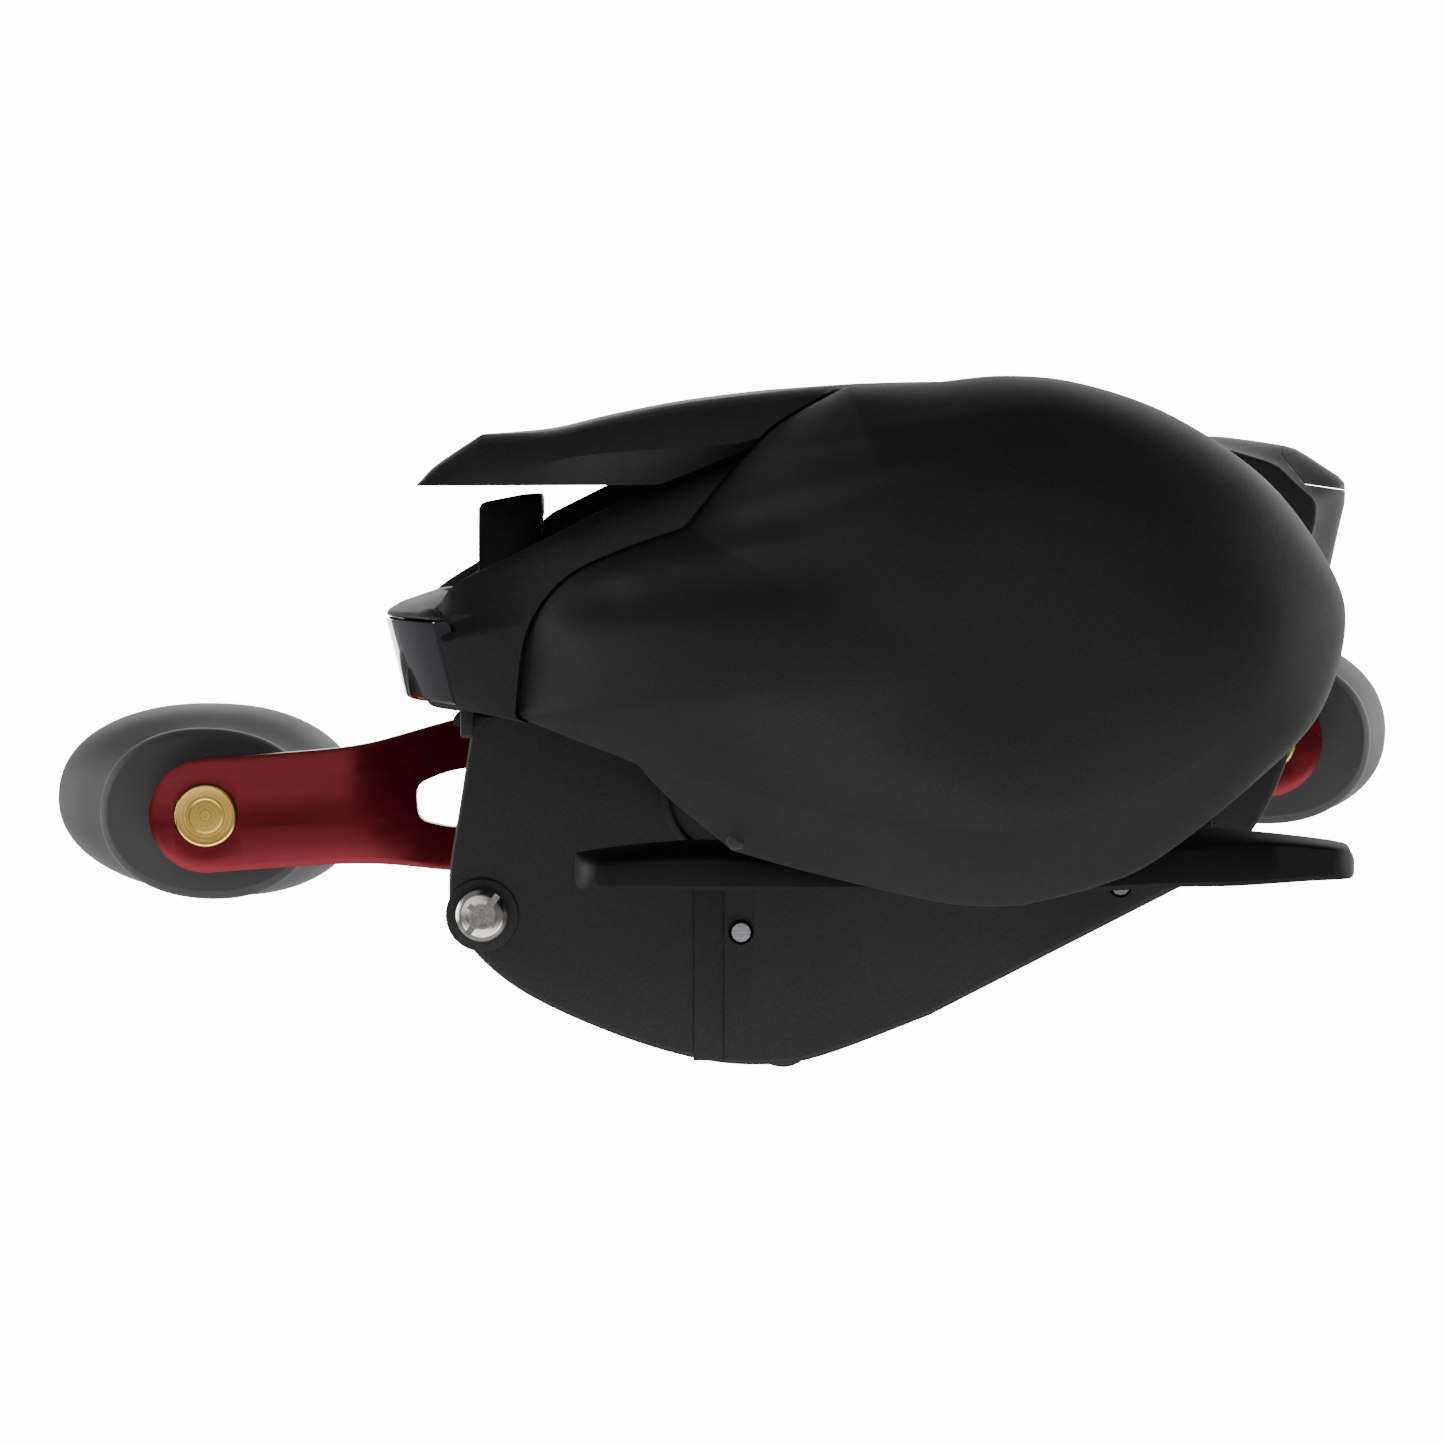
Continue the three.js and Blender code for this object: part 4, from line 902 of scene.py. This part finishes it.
def make_frame():
    left, right = (NEAR_FACE + 1.2, NEAR_FACE + 4.5), (GEAR_WALL[0] - 2.6, GEAR_WALL[0] - 0.4)
    across = (left[1] - 0.1, right[0] + 0.1)
    inside = grown(PALM_OUTLINE, PALM_CENTRE, -2.3)
    sides = []
    for depth in (left, right):
        behind_nose = box_piece("behind_nose", (-29.2, 60), (-40, 40), (-40, 60))
        sides.append(cut(slab("side", inside, *depth, 0.3), behind_nose, "INTERSECT"))
    arc_out = arc(SPOOL, SPOOL_ROOM + 1.6, 234, 72)
    arc_in = arc(SPOOL, SPOOL_ROOM, 306, -72)
    floor = slab("floor", arc_out + arc_in, *across, 0)
    front_bar = box_piece("front_bar", (-28.2, -26), across, (14.6, 20.2), 0.4)
    rear_bar = box_piece("rear_bar", (17.4, 20.6), across, (10.6, 14.6), 0.6)
    drilled(sides[0], (SPOOL, SPOOL_ROOM + 0.1, left[0] - 1, right[0]))
    drilled(sides[1], (SPOOL, 3.4, 10, 16), (DRIVE, 6, 10, 16))
    cut(sides[1], box_piece("tang_slot", TANG, (10, 16), (SPOOL[1] - 2, SPOOL[1] + 5)))
    leg = rounded([(8, 2.2), (16.9, 1.6), (18.9, 3.0), (18.8, 4.7), (17.6, 10), (8, 10)], 0.9)
    rear_leg = slab("rear_leg", leg, right[0] + 0.2, right[1], 0.2)
    piece = joined(*sides, floor, front_bar, rear_bar, rear_leg)
    piece.name = "frame_casting"
    return piece


# ---- handle
def handle_point(u, v):
    """A point of the handle's own plan, u along it from the hub and v across, as x and z."""
    return turned_point(DRIVE, HANDLE_TILT, u, v)


ARM_END_HALF = 4.45
ARM_HALF = [(0, 8.8), (9, 8.2), (16, 7.0), (23, 5.7), (28.8, 4.65), (35, ARM_END_HALF),
            (HANDLE_HALF, ARM_END_HALF)]
ARM_THICK = 2.2
ARM_END_LOW, ARM_TOP = span("handle_arm", 1)
ARM_RISE = ARM_TOP - ARM_END_LOW - ARM_THICK
THROUGH_ARM = (30, 45)
KEEPER = handle_point(8.2, 0)  # the retainer's screw, out along the arm from the hub


def arm_half(u):
    """Half the arm's width between the knobs, at u from the hub."""
    return height_on(curve_through(ARM_HALF, 8) + [ARM_HALF[-1]], abs(u))


def arm_low(u):
    """The depth of the arm's inner face: level at the hub, an S-bend, then level at the knob."""
    return ARM_END_LOW + ARM_RISE * (1 - ramp(abs(u), 18, 30.5))


def arm_stations(edge):
    """Along the arm: how far the edge and the face reach, then half the width at each of them."""
    straight = [HANDLE_HALF * (k / 60 - 1) for k in range(121)]
    stations = [(u, u, arm_half(u), arm_half(u) - edge) for u in straight]
    face = ARM_END_HALF - edge
    for k in range(1, 16):  # 15 steps of 5.93 degrees, just short of the tip
        c, s = math.cos(math.radians(5.93 * k)), math.sin(math.radians(5.93 * k))
        tip = (HANDLE_HALF + ARM_END_HALF * s, HANDLE_HALF + face * s, ARM_END_HALF * c, face * c)
        stations.append(tip)
        stations.insert(0, (-tip[0], -tip[1], tip[2], tip[3]))
    return stations


def make_handle_arm():
    edge, lip = 0.55, 0.28
    rings = []
    for u_edge, u_face, half, face in arm_stations(edge):
        low, high = arm_low(u_face), arm_low(u_face) + ARM_THICK
        below = [(u_face, -face, low), (u_edge, -half, low + lip), (u_edge, -half, high - lip),
                 (u_face, -face, high)]
        section = below + [(u, -v, y) for u, v, y in reversed(below)]
        rings.append([(handle_point(u, v)[0], y, handle_point(u, v)[1]) for u, v, y in section])
    piece = lofted("handle_arm_forged", rings, 25)
    upper = [(10.5, 3.2), (22.4, 2.2), (24.9, 1.4)]
    window = rounded([(u, -v) for u, v in upper] + upper[::-1], 0.9)
    for side in (-1, 1):
        points = [handle_point(side * u, side * v - 0.2) for u, v in window]
        cut(piece, slab("window", points, *THROUGH_ARM, 0))
        drilled(piece, (handle_point(side * HANDLE_HALF, 0), 2.5, *THROUGH_ARM))
    return drilled(piece, (DRIVE, 2.5, *THROUGH_ARM), (KEEPER, 1.2, *THROUGH_ARM))


KNOB_TILT = HANDLE_TILT - math.radians(7)
KNOB_IN, KNOB_OUT = span("knob_front", 1)
# a paddle's half widths from the arm outwards: share of its depth, then front, rear, top and bottom
KNOB_SECTIONS = [
    (0.0, 7.9, 7.9, 6.1, 6.1),
    (0.05, 8.5, 8.5, 6.7, 6.7),
    (0.2, 8.1, 8.0, 6.2, 6.2),
    (0.34, 7.7, 7.5, 5.7, 5.7),
    (0.5, 8.4, 7.9, 6.0, 6.0),
    (0.7, 11.8, 9.9, 7.4, 7.1),
    (0.86, 13.2, 11.1, 7.9, 7.5),
    (0.95, 13.1, 11.0, 7.8, 7.4),
    (1.0, 12.0, 10.0, 6.9, 6.5),
]
KNOB_BLUNT = 0.92  # below 1 the ends of the paddle are squarer than an oval's


def blunted(value):
    return math.copysign(abs(value) ** KNOB_BLUNT, value)


def make_knob(end):
    axis = KNOBS[end]
    rings = []
    for share, front, rear, top, bottom in curve_through(KNOB_SECTIONS, 6) + [KNOB_SECTIONS[-1]]:
        ring = []
        for k in range(96):
            along, across = blunted(math.cos(TURN * k / 96)), blunted(math.sin(TURN * k / 96))
            u = along * (rear if along > 0 else front)
            v = across * (top if across > 0 else bottom)
            x, z = turned_point(axis, KNOB_TILT, u, v)
            ring.append((x, KNOB_IN + share * (KNOB_OUT - KNOB_IN), z))
        rings.append(ring)
    piece = bevelled(lofted(f"knob_{end}_paddle", rings, 40), 0.9, 4, 40)
    shaft_bore = (axis, 1.9, KNOB_IN - 1, KNOB_OUT - 1.6)
    cap_seat = (axis, 3.4, KNOB_OUT - 1.5, KNOB_OUT + 1)
    return drilled(piece, shaft_bore, cap_seat)


def make_knob_shaft(end):
    axis = KNOBS[end]
    face = span(f"knob_shaft_{end}", 1)[0]
    profile = [(0, face + 0.03), (1.25, face + 0.03), (1.35, face), (2.3, face), (2.45, face + 0.15),
               (2.45, 37.7), (1.6, 37.7), (1.6, 58), (0, 58)]
    return turned(f"knob_pin_{end}", profile, axis, 0.12)


def make_star():
    tip = radius_about("star_drag", DRIVE)
    half = [(6.8, -36), (9.4, -20), (tip - 2.4, -7.4), (tip - 0.6, -4.6)]  # radius, degrees off the arm
    arm = half + [(tip, 0)] + [(radius, -degrees) for radius, degrees in half[:0:-1]]
    points = [turned_point(DRIVE, math.radians(-79.5 + 72 * k + degrees), radius, 0)
              for k in range(5) for radius, degrees in arm]
    low = span("star_drag", 1)[0]
    piece = slab("drag_star", rounded(points, 1.6), low, low + 2.2, 0.45)
    bore, top = 3.6, 37.4
    hub = turned("hub", [(bore, low), (6.6, low), (6.6, top), (bore, top)], DRIVE, 0.4)
    return joined(drilled(piece, (DRIVE, bore, low - 1, top + 0.6)), hub)


def make_retainer():
    points = [handle_point(2 + 8.6 * u, 6.6 * v) for u, v in circle((0, 0), 1, 96)]
    piece = slab("retainer_cover", points, 41.7, 45.6, 0.6)
    hexagon = [handle_point(u, v) for u, v in circle((0, 0), 5.35, 6)]
    cut(piece, slab("nut_room", hexagon, 41, 44.9, 0))
    return drilled(piece, (KEEPER, 1.2, 40, 47))


# ---- screws, spool, level wind
def make_side_screw():
    """A pan-head screw with a long slot and a shorter one across it."""
    head = turned("side_screw_head", [(0, 13.6), (1.0, 13.6), (1.6, 13.75), (2.0, 14.15), (2.0, 14.5),
                                      (1.0, 14.5), (1.0, 22), (0, 22)], SCREW, 0.12)
    for degrees, long_half in ((52, 1.95), (142, 1.25)):
        bar = [(-long_half, -0.24), (long_half, -0.24), (long_half, 0.24), (-long_half, 0.24)]
        points = [turned_point(SCREW, math.radians(degrees), u, v) for u, v in bar]
        cut(head, slab("slot", points, 13, 14.1, 0))
    return head


def make_spool():
    half, rim = 11.2, 16.0
    edge = [(rim, half - 1), (rim, half), (rim - 1.2, half), (9.2, half - 1.6), (8, half - 3)]
    mirrored = [(r, -y) for r, y in reversed(edge)]
    profile = ([(9.3, -7.6), (9.3, 7.6), (10.4, 9)] + edge +
               [(8, 1.2), (3.2, 1.2), (3.2, 5), (1.7, 5), (1.7, -5), (3.2, -5), (3.2, -1.2), (8, -1.2)] +
               mirrored + [(10.4, -9)])
    return turned("spool_machined", profile, SPOOL, 0.4, 128)


def make_cast_control():
    low, high = span("cast_control_cap", 1)
    piece = turned("cast_knob", [(0, high), (5.8, high), (6.4, high - 0.6), (6.4, low), (4.9, low),
                                 (4.9, low + 2.7), (0, low + 2.7)], SPOOL, 0.25, 160)
    middle = Vector(SPOOL) * MM
    for vert in piece.data.vertices:
        offset = Vector((vert.co.x, vert.co.z)) - middle
        if offset.length > 5.9 * MM and low + 0.2 < vert.co.y / MM < high - 0.4:
            ridge = 1 - 0.035 * (0.5 + 0.5 * math.cos(40 * math.atan2(offset.y, offset.x)))
            vert.co.x, vert.co.z = middle + offset * ridge
    return piece


def make_line_guide():
    front, back, half = -35.65, -31.05, 4.2
    side = curve_through([(front, 20.9), (front - 0.02, 24.6), (front, 28.25)], 6)
    side += rounded([(front, 28.2), (-32.6, 28.8), (back, 28.9), (back, 27)], 0.4)[2:-2]
    side += curve_through([(back, 26.6), (back + 0.08, 24), (back + 0.2, 20.9)], 6)
    post = slab("line_guide_post", side, -half, half, 0.3)
    for vert in post.data.vertices:  # a slight waist below the eye
        vert.co.y *= 1 - 0.5 / half * math.exp(-((vert.co.z / MM - 23) / 1.3) ** 2)
    bore = 2.85
    sleeve = turned("sleeve", [(bore, -3), (3.9, -3), (3.9, 3), (bore, 3)], WORM, 0.2)
    neck = box_piece("neck", (WORM[0] - 1.9, WORM[0] + 1.9), (-2.9, 2.9), (WORM[1] + 3, 21.2))
    below = (WORM[0], 0)
    boss = drilled(upright("boss", 2.5, below, 13.25, 15.4), (WORM, bore, -5, 5))
    for radius, top in ((1.1, 16), (1.95, 13.9)):
        cut(boss, upright("bore", radius, below, 13, top))
    x0, x1 = span("line_guide", 0)
    eye = lofted("eye", [[(x, y, z) for y, z in circle((0, EYE_Z), 2.5, 64)] for x in (x0 - 1, x1 + 1)])
    return joined(cut(post, eye), sleeve, neck, boss)


EYE_Z = sum(span("guide_insert", 2)) / 2


def make_guide_ring():
    x0, x1 = span("guide_insert", 0)
    middle, half = (x0 + x1) / 2, (x1 - x0) / 2
    section = rounded([(1.5, -0.8), (1.5, 0.8), (1.9, half), (2.35, half), (2.35, -half), (1.9, -half)],
                      0.35)
    section.append(section[0])
    rows = [[(middle + x, y, z) for y, z in circle((0, EYE_Z), radius, 64)] for radius, x in section]
    return skinned("line_eye", rows)


def make_release():
    """The palm cover's release lever: a disc on its pivot and an arm with a small rounded tab."""
    low, high = span("release_lever", 1)
    pivot = joint_axis("release_turn")
    arm = rounded([(-13.2, 5.4), (-15.9, 4.8), (-16.6, 3.7), (-17.4, 3.7), (-17.7, 4.4), (-16.6, 5.8),
                   (-14.6, 8.2)], 0.5)
    disc = slab("disc", circle(pivot, 2.3), low, high, 0.25)
    return joined(slab("release_tab", arm, low, high, 0.25), disc)


def node_look(node):
    """A carried-over node's material, from its record slot and the shaft line nearest its middle."""
    line = min(LINES, key=lambda name: math.dist(LINES[name], middle_of(node)))
    lathe_turned = {"brass": BRASS_LINE[line], "bright_steel": STEEL[line]}
    return lathe_turned.get(SLOT_OF[node]) or LOOKS[SLOT_OF[node]]


dress(make_palm_cover(), SHELL, "palm_side_cover")
dress(make_nose_plate(), GLOSS, "nose_plate")
dress(make_front_cover(), CHEEK, "front_cover")
dress(make_hood(), CASING, "top_hood")
dress(make_gear_plate(), CASING, "gear_side_plate")
dress(make_gear_cover(), CASING, "gear_side_cover")
dress(make_gear_cap(), CASING, "gear_cover_cap")
# the frame and foot take the cast black deepened with painted shade
dress(make_frame(), CAST_BLACK_AND_SHADE, "frame")
dress(make_foot(), CAST_BLACK_AND_SHADE, "frame").name = "reel_foot"
dress(make_release(), NYLON, "release_lever")
dress(make_side_screw(), STEEL["screw"], "side_screw")
dress(make_handle_arm(), RED, "handle_arm")
dress(make_retainer(), RED, "nut_retainer")
for end in KNOBS:
    dress(make_knob(end), RUBBER, f"knob_{end}")
    dress(make_knob_shaft(end), BRASS[end], f"knob_shaft_{end}")
    dress(softened(f"knob_{end}_plug", f"knob_cap_{end}", 0.25), PAINTED, f"knob_cap_{end}")
dress(make_star(), PAINTED, "star_drag")
dress(make_spool(), SPOOL_ALLOY, "spool")
dress(make_cast_control(), PAINTED, "cast_control_cap")
dress(make_line_guide(), SMOOTH, "line_guide")
dress(make_guide_ring(), CERAMIC, "guide_insert")
dress(softened("thumb_rest", "thumb_bar", 0.5), CHEEK, "thumb_bar")
dress(softened("handle_hex_nut", "handle_nut", 0.2), STEEL["drive"], "handle_nut")
dress(softened("retainer_button", "retainer_screw", 0.15), STEEL["drive"], "retainer_screw")

# the carried-over nodes take the look of their record slot; metals follow the shaft line they sit on
for node, piece in frame["nodes"].items():
    if node not in DRESSED:
        for socket in piece.material_slots:
            socket.material = node_look(node)


# ---- stage, lights, camera
AIM = Vector((-17.9, 0, 12.07)) * MM
DISTANCE = 0.6
ELEVATION = math.radians(2.2)
LENS = 203.6


def make_stage():
    """A pale floor, well below the reel, that curves up into a pale backdrop far behind it."""
    floor, high = CAD_BOX[0][2] / MM - 500, 2600
    near_end, bend_start, bend, half_width = -8000, 900, 600, 8000
    run = [(near_end, floor)]
    for k in range(19):
        angle = math.radians(5 * k)
        run.append((bend_start + bend * math.sin(angle), floor + bend * (1 - math.cos(angle))))
    run.append((bend_start + bend, floor + high))
    corners = [(x, y, z) for y, z in run for x in (-half_width, half_width)]
    piece = build("studio_sweep", corners, strips(len(run), 2, closed=False))
    look = Shader("studio_white", 0.8)
    look.bsdf.inputs["Base Color"].default_value = (0.4, 0.4, 0.4, 1)
    glow = look.node("ShaderNodeEmission", Strength=14.0)
    sight = look.node("ShaderNodeLightPath")
    both = look.node("ShaderNodeMixShader")
    out = look.nodes["Material Output"]
    look.links.new(sight.outputs["Is Camera Ray"], both.inputs[0])
    look.links.new(look.bsdf.outputs[0], both.inputs[1])
    look.links.new(glow.outputs[0], both.inputs[2])
    look.links.new(both.outputs[0], out.inputs["Surface"])
    piece.data.materials.append(look.material)


def soft_light(name, place, size, power):
    data = bpy.data.lights.new(name, "AREA")
    data.shape = "RECTANGLE"
    data.size, data.size_y = size
    data.energy = power
    lamp = bpy.data.objects.new(name, data)
    lamp.location = place
    lamp.rotation_euler = (AIM - Vector(place)).to_track_quat("-Z", "Y").to_euler()
    lamp.visible_camera = False
    bpy.context.collection.objects.link(lamp)


def make_camera():
    data = bpy.data.cameras.new("camera")
    data.lens = LENS
    data.sensor_width = 36
    data.clip_start = 0.01
    camera = bpy.data.objects.new("camera", data)
    camera.location = AIM + DISTANCE * Vector((0, -math.cos(ELEVATION), math.sin(ELEVATION)))
    camera.rotation_euler = (math.pi / 2 - ELEVATION, 0, 0)
    bpy.context.collection.objects.link(camera)
    bpy.context.scene.camera = camera


def make_world():
    world = bpy.data.worlds.new("studio")
    world.use_nodes = True
    background = world.node_tree.nodes["Background"]
    background.inputs["Color"].default_value = (0.95, 0.97, 1, 1)
    background.inputs["Strength"].default_value = 0.3
    bpy.context.scene.world = world


make_stage()
make_world()
make_camera()
soft_light("side_left", (-1.0, 0.3, 0.1), (0.5, 0.7), 8)
soft_light("side_right", (0.95, 0.35, 0.1), (0.5, 0.7), 7)
soft_light("front_soft", (-0.5, -1.2, 0.5), (1.4, 1.0), 6)
soft_light("table_glow", (0, -0.3, -0.4), (1.2, 0.5), 6.5)
soft_light("rear_soft", (0.15, 0.8, 0.15), (1.0, 0.7), 7)
